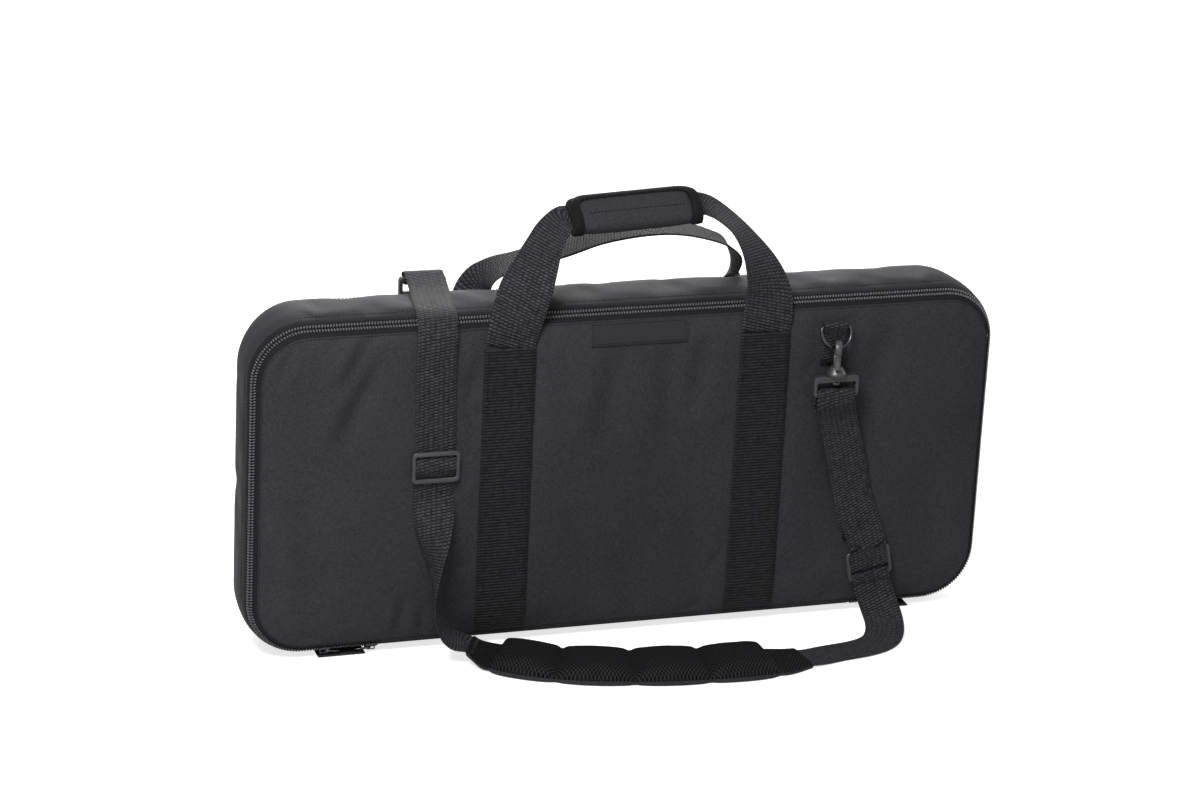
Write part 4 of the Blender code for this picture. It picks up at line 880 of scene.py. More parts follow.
zip_seam = zip_line(ZIP_END)
hinge_seam = [(Vector((x, SEAM_LOW)), Vector((0.0, -1.0))) for x in np.linspace(-0.2427, 0.2427, 60)]
TUCKED, BAND_END = -0.0008, 0.0197
TAPE_THICK, HINGE_THICK = 0.0009, 0.0012
tape = (TAPE_THICK, zip_seam, zip_tape_cloth)
band_strip("lid_zip_tape", TUCKED, 0.0081, *tape, "lid", "zip_tape", "zip_tape_lid")
band_strip("case_zip_tape", 0.0089, BAND_END, *tape, "case", "zip_tape", "zip_tape_case")
band_strip("bottom_hinge", TUCKED, BAND_END, HINGE_THICK, hinge_seam, nylon, "case", "cloth", "hinge_strip")
TOOTH_PITCH = 0.0028
TOOTH = (0.0019, 0.0038, 0.0026)
TOOTH_LIFT = 0.0017
# The coils' light colour is a painted highlight on the teeth.
for name, along, slant, body in (
    ("lid_zip_coil", 0.0060, 0.30, "lid"), ("case_zip_coil", 0.0110, -0.30, "case"),
):
    coil = bead_row(name, [band_path(along, TOOTH_LIFT, zip_seam)], TOOTH_PITCH, *TOOTH, coil_nylon_painted_highlight, slant)
    hand_over(coil, body, "zip_tape")
    print(name, len(coil.data.polygons), "faces")
sewn_rows = (
    ("lid_tape_stitches", 0.0026, zip_seam, "lid"), ("case_tape_stitches", 0.0150, zip_seam, "case"),
    ("hinge_stitches", 0.0040, hinge_seam, "case"),
)
for name, along, line, body in sewn_rows:
    stitch_rows(name, [band_path(along, 0.0011, line)], body, "zip_tape")

# %% [markdown]
# ## Topstitching
#
# A row of stitches runs round the gusset beside the zip, another beside the back seam, and one just
# inside the lid's edge, where it makes the dark stitched line of the seam.

# %% Topstitch rows


def gusset_path(depth, lift):
    profile = np.array(gusset_profile)
    out = float(np.interp(depth, profile[3:, 0], profile[3:, 1]))
    ahead = float(np.interp(depth + 0.002, profile[3:, 0], profile[3:, 1]))
    slope = (ahead - out) / 0.002
    path = []
    for point, normal in SEAM:
        facing = Vector((normal.x, -slope, normal.y)).normalized()
        path.append((off_seam(point, normal, depth, out) + facing * lift, facing))
    return path + path[:1]


def panel_edge_path(inset, outwards, base_depth):
    height = float(crown(np.array(inset)))
    narrow = taper(DEPTH) if outwards > 0 else 1.0
    path = []
    for point, normal in SEAM:
        place = point - normal * inset
        facing = Vector((normal.x * 0.7, outwards * 0.7, normal.y * 0.7))
        spot = Vector((place.x * narrow, FRONT + base_depth + outwards * (height + 0.0002), place.y))
        path.append((spot, facing))
    return path + path[:1]


stitch_rows("gusset_stitches", [gusset_path(0.0235, 0.0002), gusset_path(0.0885, 0.0002)], "case", "cloth")
stitch_rows("lid_seam_stitches", [panel_edge_path(0.0016, -1, 0.0)], "lid", "cloth")
stitch_rows("back_seam_stitches", [panel_edge_path(0.0016, 1, BACK_DEPTH)], "case", "cloth")
print("pieces", len(made))

# %% [markdown]
# ## Webbing ribbons
#
# A strap is a flat ribbon through a few key points, each with the direction of its width. The
# cross-section has a shallow rib for every woven column and soft rounded edges.

# %% Webbing maker
COLUMN = 0.00475


def walk(points):
    """(point, direction ahead, distance so far) for every point of a line."""
    travelled = 0.0
    for index, point in enumerate(points):
        ahead = points[min(index + 1, len(points) - 1)] - points[max(index - 1, 0)]
        travelled += (point - points[index - 1]).length if index else 0.0
        yield point, ahead.normalized(), travelled


def ribbon_rows(keys, steps):
    """(point, across, facing, distance along) for every row of a ribbon."""
    points = smooth_line([Vector(key[0]) for key in keys], steps)
    widths = smooth_line([Vector(key[1]) for key in keys], steps)
    rows = []
    for (point, ahead, travelled), width in zip(walk(points), widths):
        across = (width - width.dot(ahead) * ahead).normalized()
        rows.append((point, across, across.cross(ahead), travelled))
    return rows


def webbing(name, keys, width, thickness, steps, material=strap_webbing, column=COLUMN):
    rows = ribbon_rows(keys, steps)
    columns = max(int(round(width / column)), 1)
    half = thickness / 2
    section = []
    for step in range(2 * columns + 1):
        share = step / (2 * columns) - 0.5
        height = half if step % 2 else half * 0.90
        if step in (0, 2 * columns):
            height = half * 0.45
        section.append((share * width, height))
    section += [(u, -h) for u, h in section[::-1]]
    shares = smooth_line([Vector((key[2] / width if len(key) > 2 else 1.0, 0.0)) for key in keys], steps)
    points = []
    chart = []
    for (point, across, facing, travelled), share in zip(rows, shares):
        for u, h in section:
            points.append(point + across * u * share.x + facing * h)
            chart.append((u + 1.0, travelled))
    piece = add_mesh(name, points, ring_faces(len(rows), len(section), False), material, chart)
    fix_normals(piece)
    return piece, rows


def along_webbing(rows, corners, side, lift):
    """A stitch path over a webbing's face, through (across, along) corners in metres."""
    travelled = [row[3] for row in rows]
    path = []
    for (u0, v0), (u1, v1) in zip(corners, corners[1:]):
        count = max(int(math.hypot(u1 - u0, v1 - v0) / 0.004), 1)
        for step in range(count + 1):
            u = u0 + (u1 - u0) * step / count
            v = v0 + (v1 - v0) * step / count
            index = min(max(int(np.searchsorted(travelled, v)), 1), len(rows) - 1)
            share = (v - travelled[index - 1]) / max(travelled[index] - travelled[index - 1], 1e-9)
            share = min(max(share, 0.0), 1.0)
            first, second = rows[index - 1], rows[index]
            point = first[0].lerp(second[0], share)
            across = first[1].lerp(second[1], share)
            facing = first[2].lerp(second[2], share) * side
            path.append((point + across * u + facing * lift, facing))
    return path


def box_cross(half, low, high):
    """Corner lists of a sewn box with a cross in it."""
    box = [(-half, low), (half, low), (half, high), (-half, high), (-half, low)]
    return [box, [(-half, low), (half, high)], [(half, low), (-half, high)]]


def sew(name, rows, corner_lists, side, thickness, body):
    paths = [along_webbing(rows, corners, side, thickness / 2 + 0.0001) for corners in corner_lists]
    return stitch_rows(name, paths, body, "webbing")


print("webbing columns on a 38 mm strap:", round(0.038 / COLUMN))

# %% [markdown]
# ## Bands and handles
#
# Two 50 mm bands are sewn up each panel with a boxed cross at the top. The handles go on from them:
# the front one rises into the padded grip, the back one lies flat just behind and below it. A key is
# x, depth, height and the way across, with a width only where the webbing is gathered.

# %% Bands
BAND_WIDTH = 0.050
BAND_THICK = 0.0018
WEB_GAP = 0.0003


def crown_at(height):
    inside = min(height - SEAM_LOW, SEAM_HIGH - height)
    return float(crown(np.array(inside)))


def band_route(x, outwards):
    base = 0.0 if outwards < 0 else BACK_DEPTH
    heights = [0.015, 0.0165, 0.019, 0.023, 0.029, 0.037, 0.045, 0.10, 0.16, 0.22, 0.275, 0.288, 0.300]
    keys = []
    for height in heights:
        lift = crown_at(height) + WEB_GAP + BAND_THICK / 2
        keys.append(((x, FRONT + base + outwards * lift, height), (1.0, 0.0, 0.0)))
    return keys


for outwards, word, body in ((-1, "front", "lid"), (1, "back", "case")):
    for sign, hand in ((-1, "left"), (1, "right")):
        name = word + "_band_" + hand
        keys = band_route(sign * BAND_X, outwards)
        piece, rows = webbing(name + "_webbing", keys, BAND_WIDTH, BAND_THICK, 4, band_webbing)
        hand_over(piece, body, "webbing", name)
        length = rows[-1][3]
        side = 1 if rows[0][2].y * outwards > 0 else -1
        edge = BAND_WIDTH / 2 - 0.0028
        lists = [[(-edge, 0.004), (-edge, length - 0.003)], [(edge, 0.004), (edge, length - 0.003)]]
        lists += box_cross(edge - 0.001, length - 0.053, length - 0.003)
        sew(name + "_stitches", rows, lists, side, BAND_THICK, body)
print("bands", length)

# %% Handles
FOOT_LIFT = 0.00695
FOOT_Z = 0.30096
BACK_FOOT = 0.10355
GRIP_DEPTH = 0.030
GRIP_Z = 0.416
GRIP_RISE = 0.05
GRIP_TILT = math.radians(30)
GATHERED = 0.029
flat_way = (0.0, -math.cos(GRIP_TILT), -math.sin(GRIP_TILT))


def in_grip(x):
    """A key of the webbing inside the grip, where it is gathered narrow."""
    return x, GRIP_DEPTH, GRIP_Z + GRIP_RISE * x, flat_way, GATHERED


front_route = (
    (-BAND_X, -FOOT_LIFT, FOOT_Z, (1.0, 0.0, 0.0)),
    (-0.1230, -0.0066, 0.3220, (1.0, -0.02, 0.05)),
    (-0.1145, -0.0010, 0.3470, (0.95, -0.22, 0.16)),
    (-0.1025, 0.0080, 0.3710, (0.76, -0.58, 0.20), 0.049),
    (-0.0900, 0.0175, 0.3925, (0.46, -0.86, 0.00), 0.045),
    (-0.0790, 0.0245, 0.4050, (0.22, -0.90, -0.30), 0.039),
    in_grip(-0.069), in_grip(-0.060), in_grip(-0.021), in_grip(0.021), in_grip(0.060), in_grip(0.070),
    (0.0850, 0.0255, 0.4125, (-0.28, -0.90, -0.25), 0.038),
    (0.1030, 0.0175, 0.3970, (-0.58, -0.78, 0.05), 0.045),
    (0.1185, 0.0075, 0.3730, (-0.80, -0.52, 0.22)),
    (0.1280, -0.0015, 0.3460, (-0.95, -0.25, 0.16)),
    (0.1285, -0.0066, 0.3220, (-1.0, -0.02, 0.05)),
    (BAND_X, -FOOT_LIFT, FOOT_Z, (-1.0, 0.0, 0.0)),
)
back_route = (
    (-BAND_X, BACK_FOOT, FOOT_Z, (1.0, 0.0, 0.0)),
    (-0.1268, 0.1034, 0.3125, (0.90, -0.43, 0.0)),
    (-0.1258, 0.1028, 0.3240, (0.55, -0.83, 0.0)),
    (-0.1220, 0.1008, 0.3352, (0.18, -0.98, 0.0)),
    (-0.1115, 0.0968, 0.3450, (0.05, -1.0, 0.0)),
    (-0.0920, 0.0895, 0.3535, (0.0, -1.0, 0.0)),
    (-0.0560, 0.0785, 0.3665, (0.0, -1.0, 0.0)),
    (-0.0200, 0.0710, 0.3800, (0.0, -1.0, 0.0)),
    (0.0200, 0.0670, 0.3865, (0.0, -1.0, 0.0)),
    (0.0540, 0.0690, 0.3850, (0.0, -1.0, 0.0)),
    (0.0860, 0.0760, 0.3765, (0.0, -1.0, 0.0)),
    (0.1080, 0.0860, 0.3665, (0.0, -1.0, 0.0)),
    (0.1245, 0.0950, 0.3540, (-0.05, -1.0, 0.0)),
    (0.1305, 0.1008, 0.3395, (-0.18, -0.98, 0.0)),
    (0.1290, 0.1030, 0.3265, (-0.55, -0.83, 0.0)),
    (0.1274, 0.1035, 0.3135, (-0.90, -0.43, 0.0)),
    (BAND_X, BACK_FOOT, FOOT_Z, (-1.0, 0.0, 0.0)),
)
for name, route in (("front_handle", front_route), ("back_handle", back_route)):
    keys = [((x, FRONT + depth, z), across, *narrowed) for x, depth, z, across, *narrowed in route]
    piece, rows = webbing(name + "_webbing", keys, BAND_WIDTH, BAND_THICK, 7)
    hand_over(piece, name, "webbing", name)
    print(name, "webbing length", round(rows[-1][3], 3), "m")

# %% [markdown]
# ## Padded grip
#
# The grip is a padded flap wrapped round the front handle's webbing, bound all round with grosgrain.
# It is a flattened tube; the cloth settling puffs it between its bound ends. The binding round the
# flap's free edge is a strip laid on the tube's surface, up one end, round two corners and down
# again, so it is worked out in distances on the cloth.

# %% Grip
GRIP_HALF_DEPTH = 0.0212
GRIP_HALF_HEIGHT = 0.0108
GRIP_END = 0.063
GRIP_SIDES = 44
GRIP_CORNER = 0.020
BINDING = 0.009
grip_axes = Matrix((
    Vector((1.0, 0.0, GRIP_RISE)).normalized(),
    Vector((0.0, math.cos(GRIP_TILT), math.sin(GRIP_TILT))),
    Vector((0.0, -math.sin(GRIP_TILT), math.cos(GRIP_TILT))),
)).transposed()
grip_centre = Vector((0.0, FRONT + GRIP_DEPTH, GRIP_Z))


def grip_ring(angle, extra, x):
    """(back, up) of the grip's rounded section. Zero is the flap's free edge, pi its fold."""
    c, s = math.cos(angle), math.sin(angle)
    past = min(max(abs(x) - GRIP_END + GRIP_CORNER, 0.0) / GRIP_CORNER, 1.0)
    cut = 0.0058 * (1.0 - math.sqrt(1.0 - past ** 2)) if c > 0.0 else 0.0
    back = math.copysign(abs(c) ** 0.8, c) * (GRIP_HALF_DEPTH - cut + extra)
    return back, math.copysign(abs(s) ** 0.8, s) * (GRIP_HALF_HEIGHT + extra)


def slot_ring(angle):
    """The flat slot in which the webbing lies."""
    c, s = math.cos(angle), math.sin(angle)
    half = GATHERED / 2 + 0.0004
    return math.copysign(min(abs(c) * 1.5, 1.0), c) * half, math.copysign(min(abs(s) * 3.0, 1.0), s) * 0.0013


def grip_place(x, ring):
    return grip_centre + grip_axes @ Vector((x, *ring))


def tube(name, stations, material):
    """A thick-walled tube along the grip: (x, extra) stations outside, the webbing's slot inside."""
    angles = [2 * math.pi * step / GRIP_SIDES for step in range(GRIP_SIDES)]
    loops = [[grip_place(x, grip_ring(angle, extra, x)) for angle in angles] for x, extra in stations]
    ends = (stations[-1][0], stations[0][0])
    loops += [[grip_place(x, slot_ring(angle)) for angle in angles] for x in ends]
    points = [place for loop in loops for place in loop]
    piece = add_mesh(name, points, ring_faces(len(loops), GRIP_SIDES, True), material)
    fix_normals(piece)
    return piece


wrap_half = GRIP_END - BINDING + 0.0003
wrap_x = np.linspace(-wrap_half, wrap_half, 26)
grip = tube("grip_cover", [(x, 0.0014 * (1 - (abs(x) / wrap_half) ** 4) - 0.0012) for x in wrap_x], nylon)
ring_index = np.arange(len(grip.data.vertices)) // GRIP_SIDES
loose = (ring_index > 0) & (ring_index < 25)
moved = settle(grip, ~loose, 0.012, 2.0)
push = np.clip(moved, -0.0008, 0.0008) * loose[:, None]
shift_points(grip, push)
hand_over(grip, "front_handle", "cloth", "grip_wrap")
BINDING_BULGE = ((-0.5, -0.0010), (-0.45, 0.0), (-0.25, 0.0004), (0.25, 0.0004), (0.45, 0.0), (0.5, -0.0010))
for sign, hand in ((-1, "left"), (1, "right")):
    middle = sign * (GRIP_END - BINDING / 2)
    rings = [(middle + share * BINDING, extra) for share, extra in BINDING_BULGE]
    binding = tube("grip_binding_" + hand + "_tape", rings, grosgrain)
    hand_over(binding, "front_handle", "cloth", "grip_binding_" + hand)
print("grip", len(grip.data.vertices))

# %% Flap edge of the grip
FLAP_WIDTH = 0.0092
FLAP_CORNER = 0.013
FLAP_TOP, FLAP_FOOT = 0.52, 3.22
FLAP_SECTION = ((-0.5, 0.0004), (-0.46, 0.0014), (-0.2, 0.0019), (0.2, 0.0019), (0.46, 0.0014), (0.5, 0.0004))


ring_angles = np.linspace(FLAP_TOP, FLAP_FOOT, 120)
ring_places = np.array([grip_ring(angle, 0.0, 0.0) for angle in ring_angles])
ring_reach = np.concatenate([[0.0], np.cumsum(np.hypot(*np.diff(ring_places, axis=0).T))])


def on_flap(x, down, lift):
    """A place on the flap, at a distance down from its free edge measured on the cloth."""
    angle = float(np.interp(down, ring_reach, ring_angles))
    ahead = Vector(grip_ring(angle + 0.02, 0.0, x)) - Vector(grip_ring(angle - 0.02, 0.0, x))
    normal = grip_axes @ Vector((0.0, ahead.y, -ahead.x)).normalized()
    return grip_place(x, grip_ring(angle, 0.0, x)) + normal * lift, normal


flap_half = GRIP_END - FLAP_WIDTH / 2 + 0.0004
bend_x, bend_down = flap_half - FLAP_CORNER, FLAP_WIDTH / 2 + FLAP_CORNER
flap_line = [(flap_half, down, 1.0, 0.0) for down in np.linspace(ring_reach[-1], bend_down, 14)[:-1]]
for step in range(13):
    angle = math.pi / 2 * step / 12
    way = (math.cos(angle), -math.sin(angle))
    flap_line.append((bend_x + FLAP_CORNER * way[0], bend_down + FLAP_CORNER * way[1], *way))
flap_line += [(x, FLAP_WIDTH / 2, 0.0, -1.0) for x in np.linspace(bend_x, 0.0, 16)[1:]]
flap_line += [(-x, down, -out_x, out_down) for x, down, out_x, out_down in flap_line[-2::-1]]
flap_section = [*FLAP_SECTION, *((share, -0.0004) for share, lift in FLAP_SECTION[::-1])]
points = []
for x, down, out_x, out_down in flap_line:
    for share, lift in flap_section:
        points.append(on_flap(x + out_x * share * FLAP_WIDTH, down + out_down * share * FLAP_WIDTH, lift)[0])
faces = ring_faces(len(flap_line), len(flap_section), False)
flap = add_mesh("grip_flap_tape", points, faces, grosgrain)
fix_normals(flap)
hand_over(flap, "front_handle", "cloth")
inner_edge = [
    on_flap(x - out_x * 0.38 * FLAP_WIDTH, down - out_down * 0.38 * FLAP_WIDTH, 0.0019)
    for x, down, out_x, out_down in flap_line
]
middle_row = [on_flap(x, ring_reach[-1] * 0.56, 0.0006) for x in np.linspace(-bend_x, bend_x, 30)]
stitch_rows("grip_stitches", [inner_edge, middle_row], "front_handle", "cloth")
print("flap tape rows", len(flap_line))

# %% [markdown]
# ## Label patch
#
# A bare rectangle of loop pile is sewn under the seam at the top of the lid. It carries nothing.

# %% Label patch
LABEL_TOP = 0.3185
LABEL_HEIGHT = 0.022
LABEL_WIDTH = 0.097
LABEL_THICK = 0.0012
LABEL_SEWN = 0.0022
label_keys = []
for step in range(13):
    height = LABEL_TOP - LABEL_HEIGHT * step / 12
    lift = crown_at(height) + WEB_GAP + LABEL_THICK / 2
    label_keys.append(((0.0, FRONT - lift, height), (1.0, 0.0, 0.0)))
label, rows = webbing("label_pile", label_keys, LABEL_WIDTH, LABEL_THICK, 1, loop_pile, 0.0048)
hand_over(label, "lid", "loop_pile", "label_patch")
edge = LABEL_WIDTH / 2 - LABEL_SEWN
deep = rows[-1][3]
low = deep - LABEL_SEWN
side = 1 if rows[0][2].y < 0 else -1
frame_line = [(-edge, LABEL_SEWN), (edge, LABEL_SEWN), (edge, low), (-edge, low), (-edge, LABEL_SEWN)]
sew("label_stitches", rows, [frame_line], side, LABEL_THICK, "lid")
print("label", deep)

# %% [markdown]
# ## Ring tabs and the shoulder strap
#
# Each D-ring hangs in a folded tab. The shoulder strap runs from the hook behind, over the top, down
# the front to a slide, turns over once and goes into the pad; the other end leaves the pad, rises
# through a second slide and is doubled back to the hook on the lid. Routes repeat the solids' keys.

# %% Strap routes
HOOK_OUT = 0.0135
BAR_DROP = -0.0653
ACROSS_X = Vector((1.0, 0.0, 0.0))
front_ring_at = Matrix.Translation((0.197, FRONT - PANEL_FLAT, 0.304))
back_ring_at = Matrix.Translation((-0.178, 0.0554, 0.267)) @ Matrix.Rotation(math.pi, 4, "X")


TAB_WIDTH, TAB_THICK = 0.025, 0.0014


def tab_keys(matrix):
    """A tab's webbing, up behind the ring's bar, round it and down again in front."""
    inner = -WEB_GAP - TAB_THICK / 2
    bar = -0.0041
    radius = 0.0041 + inner
    path = [(inner, -0.040), (inner, -0.010)]
    for step in range(7):
        angle = math.pi * step / 6
        path.append((bar + radius * math.cos(angle), radius * math.sin(angle)))
    outer = inner - TAB_THICK - WEB_GAP
    path += [(outer - 0.0016, -0.007), (outer, -0.014), (outer, -0.038)]
    return [(matrix @ Vector((0.0, depth, z)), matrix.to_3x3() @ ACROSS_X) for depth, z in path]


for word, matrix, body in (("front", front_ring_at, "lid"), ("back", back_ring_at, "case")):
    piece, rows = webbing(word + "_ring_tab_webbing", tab_keys(matrix), TAB_WIDTH, TAB_THICK, 3)
    hand_over(piece, body, "webbing", word + "_ring_tab")
    length = rows[-1][3]
    facing_out = matrix.to_3x3() @ Vector((0.0, -1.0, 0.0))
    side = 1 if rows[-1][2].dot(facing_out) > 0 else -1
    crossed = box_cross(0.0100, length - 0.022, length - 0.002)
    sew(word + "_ring_tab_stitches", rows, crossed, side, TAB_THICK, body)


def frame_turn(matrix, tail=0.004):
    """Webbing up behind the bar of a hook's frame, over it and down in front."""
    half, tall = 0.00495, 0.00405
    shape = [(half, -tall - tail), (half, 0.0008), (half - 0.0005, tall - 0.0006), (half - 0.0018, tall)]
    shape += [(-depth, z) for depth, z in shape[::-1]]
    across = matrix.to_3x3() @ ACROSS_X
    return [(matrix @ Vector((0.0, depth - HOOK_OUT, BAR_DROP + z)), across) for depth, z in shape]


WEAVE = 0.00275


def through_slide(matrix, stops):
    across = matrix.to_3x3() @ ACROSS_X
    return [(matrix @ Vector((0.0, depth, z)), across) for z, depth in stops]


def under_outer_bars():
    """(z, depth) stops of webbing that comes forward only over the middle bar."""
    bar, outer = 0.003, 0.011
    upper = [(outer + 0.012, WEAVE), (outer + 0.006, WEAVE), (outer + 0.0006, WEAVE * 0.93)]
    upper += [((outer + bar) / 2, 0.0), (bar - 0.0002, -WEAVE * 0.95), (0.0, -WEAVE)]
    return upper + [(-z, depth) for z, depth in upper[-2::-1]]


def over_all_bars():
    """Webbing that covers the bars and only dips into the lower slot."""
    dip = [(0.0, 1.0), (-0.0034, 0.92), (-0.0058, -0.2), (-0.0070, -0.5), (-0.0082, -0.2), (-0.0110, 0.92)]
    stops = [(0.023, 1.0), (0.017, 1.0), (0.011, 1.0), (0.005, 1.0)] + dip + [(-0.017, 1.0), (-0.023, 1.0)]
    return [(z, -WEAVE * share) for z, share in stops]


def off_lid(x, stand, z):
    return Vector((x, FRONT - PANEL_FLAT - stand, z))


def at_depth(x, depth, z):
    return Vector((x, FRONT + depth, z))


LEFT_X, LEFT_Z = -0.1967, 0.189
RIGHT_X, RIGHT_Z = 0.2485, 0.057
RING_X, HOOK_X, FOOT = 0.197, -0.178, 0.2362
left_slide_at = Matrix.Translation(off_lid(LEFT_X, 0.005, LEFT_Z))
right_lean = Matrix.Rotation(math.radians(-11), 4, "Y")
right_slide_at = Matrix.Translation(off_lid(RIGHT_X, 0.0082, RIGHT_Z)) @ right_lean
left_weave = through_slide(left_slide_at, under_outer_bars())
right_weave = through_slide(right_slide_at, over_all_bars())
lean_across = right_weave[0][1]
middle = (RIGHT_X - 0.030, RIGHT_Z + 0.108)
right_upper = [
    (off_lid(RIGHT_X - 0.010, 0.0024, RIGHT_Z + 0.031), lean_across),
    (off_lid(RIGHT_X - 0.0165, 0.0022, RIGHT_Z + 0.055), lean_across),
    (off_lid(middle[0], 0.0018, middle[1]), lean_across),
    (off_lid(RING_X + 0.010, 0.0024, FOOT - 0.0282), (1.0, 0.0, 0.14)),
    (off_lid(RING_X + 0.0025, 0.0052, FOOT - 0.0127), (1.0, 0.0, 0.05)),
    *frame_turn(front_ring_at),
    (off_lid(RING_X + 0.002, 0.0157, FOOT - 0.0117), (1.0, 0.0, 0.05)),
    (off_lid(RING_X + 0.0065, 0.0097, FOOT - 0.0222), (1.0, 0.0, 0.12)),
    (off_lid(RING_X + 0.013, 0.0054, FOOT - 0.0402), (1.0, 0.0, 0.16)),
    (off_lid(middle[0], 0.0044, middle[1]), lean_across),
    (off_lid(RIGHT_X - 0.0185, 0.0046, RIGHT_Z + 0.064), lean_across),
    *right_weave[:-2],
]
TOP_Z = 0.33425
drift = LEFT_X - HOOK_X
left_upper = [
    *frame_turn(back_ring_at, 0.0004),
    (at_depth(HOOK_X + drift * 0.05, DEPTH + 0.016, TOP_Z + 0.0062), (1.0, -0.04, 0.0)),
    (at_depth(HOOK_X + drift * 0.12, DEPTH + 0.004, TOP_Z + 0.0044), (1.0, -0.08, 0.0)),
    (at_depth(HOOK_X + drift * 0.24, DEPTH - 0.014, TOP_Z + 0.0016), (1.0, -0.14, 0.0)),
    (at_depth(HOOK_X + drift * 0.45, DEPTH * 0.625, TOP_Z + 0.0006), (1.0, -0.18, 0.0)),
    (at_depth(HOOK_X + drift * 0.70, DEPTH * 0.354, TOP_Z + 0.0006), (1.0, -0.16, 0.0)),
    (at_depth(HOOK_X + drift * 0.86, 0.014, TOP_Z - 0.0010), (1.0, -0.08, 0.0)),
    (at_depth(LEFT_X + 0.0005, -0.001, SEAM_HIGH + 0.0068), (1.0, 0.0, 0.05)),
    (off_lid(LEFT_X - 0.0011, 0.0020, SEAM_HIGH - 0.008), (1.0, 0.0, 0.06)),
    (off_lid(LEFT_X - 0.0018, 0.0032, SEAM_HIGH - 0.030), (1.0, 0.0, 0.02)),
    (off_lid(LEFT_X - 0.0008, 0.0026, LEFT_Z + 0.056), ACROSS_X),
    *left_weave[:-2],
]
print("right upper keys", len(right_upper), "left upper keys", len(left_upper))

# %% [markdown]
# ## Shoulder pad
#
# The pad is a quilted cushion of spacer mesh: four stuffed chambers between sewn channels and two
# thin sewn ends. Its plan follows a curve on the floor. The chambers swell in the cloth settling,
# pinned along the channels, the edge and the floor.

# %% Shoulder pad
PAD_LINE = (
    (-0.163, -0.030), (-0.140, -0.042), (-0.088, -0.075), (-0.022, -0.095),
    (0.046, -0.105), (0.113, -0.106), (0.150, -0.103),
)
PAD_STEPS = 14
PAD_SIDES = 26
PAD_CELLS = len(PAD_LINE) - 1
PAD_LIFT = 0.011
PAD_TAPER = 1.4
PAD_CREST, PAD_CHANNEL, PAD_EDGE = 0.0172, 0.0078, 0.0056
PAD_END_CREST, PAD_END_EDGE = 0.005, 0.0035
PAD_END_WIDTH, PAD_WIDER = 0.044, 0.022
PAD_PUFF = 0.0022


def pad_lift(cell):
    """The strap holds the pad's left end a little off the floor."""
    return PAD_LIFT * max(1.0 - cell / PAD_TAPER, 0.0) ** 2


def pad_height(cell, side):
    """Top of the pad: flat stuffed chambers with rolled edges, narrow channels and thin ends."""
    if cell <= 1.0 or cell >= PAD_CELLS - 1:
        crest, edge = PAD_END_CREST, PAD_END_EDGE
    else:
        swell = math.sin(math.pi * (cell - math.floor(cell))) ** 0.30
        crest = PAD_CREST - (PAD_CHANNEL - 0.0034 * side) * (1.0 - swell)
        edge = PAD_EDGE * (0.7 + 0.3 * swell)
    return edge + (crest - edge) * (1.0 - abs(side) ** 5) ** 0.6


def pad_reach(cell, side):
    """How far a point of the pad lies from its middle line. The near edge is drawn in at each channel."""
    share = min(cell, PAD_CELLS - cell, PAD_TAPER) / PAD_TAPER
    ease = share * share * (3 - 2 * share)
    drawn_in = (0.12 if side < 0.0 else 0.015) * (1.0 - abs(math.sin(math.pi * cell)) ** 0.4)
    return side * (PAD_END_WIDTH + PAD_WIDER * ease) / 2 * (1.0 - drawn_in)


pad_points = smooth_line([Vector((x, FRONT + depth, 0.0)) for x, depth in PAD_LINE], PAD_STEPS)
stations = []
for index, (point, ahead, travelled) in enumerate(walk(pad_points)):
    stations.append((point, Vector((-ahead.y, ahead.x, 0.0)), ahead, index / PAD_STEPS, travelled))
sides = [math.sin(math.pi * (step / PAD_SIDES - 0.5)) for step in range(PAD_SIDES + 1)]
points, chart, pinned = [], [], []
for floor_row in (False, True):
    for point, across, ahead, cell, distance in stations:
        for side in sides:
            place = point + across * pad_reach(cell, side)
            place.z = pad_lift(cell) + (0.0003 if floor_row else pad_height(cell, side))
            points.append(place)
            chart.append((pad_reach(cell, side) + 1.0, distance))
            near_channel = abs(cell - round(cell)) < 0.05
            thin_end = cell < 1.05 or cell > PAD_CELLS - 1.05
            pinned.append(floor_row or abs(side) > 0.985 or near_channel or thin_end)
top_faces = grid_faces(len(stations), PAD_SIDES + 1)
faces = shell_faces(top_faces, len(stations), PAD_SIDES + 1)
pad = add_mesh("shoulder_pad_cushion", points, faces, pad_net, chart)
pad.data.materials.append(nylon)
for polygon in list(pad.data.polygons)[len(top_faces):]:
    polygon.material_index = 1
fix_normals(pad)
moved = settle(pad, np.array(pinned), 0.02, 4.0)
push = np.clip(moved, -PAD_PUFF, PAD_PUFF) * (~np.array(pinned))[:, None]
shift_points(pad, push)
hand_over(round_off(pad, 1), "case", "mesh", "shoulder_pad")
print("pad length", round(travelled, 3))

# %% Pad stitching


def pad_place(cell, side, lift):
    index = min(cell * PAD_STEPS, len(stations) - 1.001)
    low = int(index)
    share = index - low
    point = stations[low][0].lerp(stations[low + 1][0], share)
    across = stations[low][1].lerp(stations[low + 1][1], share)
    place = point + across * pad_reach(cell, side)
    place.z = pad_lift(cell) + pad_height(cell, side) + lift
    return place, Vector((0.0, 0.0, 1.0))


pad_paths = []
for channel in range(1, PAD_CELLS):
    pad_paths.append([pad_place(channel, side, 0.0002) for side in np.linspace(-0.93, 0.93, 24)])
for start, end in ((0.08, 0.95), (PAD_CELLS - 0.95, PAD_CELLS - 0.08)):
    for last, side in ((end, 0.8), (end, -0.8), (start, 0.8)):
        shares = [step / 15 for step in range(16)]
        line = [(start + (last - start) * share, side * (2 * share - 1)) for share in shares]
        pad_paths.append([pad_place(cell, across, 0.0002) for cell, across in line])
stitch_rows("shoulder_pad_stitches", pad_paths, "case", "mesh")
print("pad sewn rows", len(pad_paths))
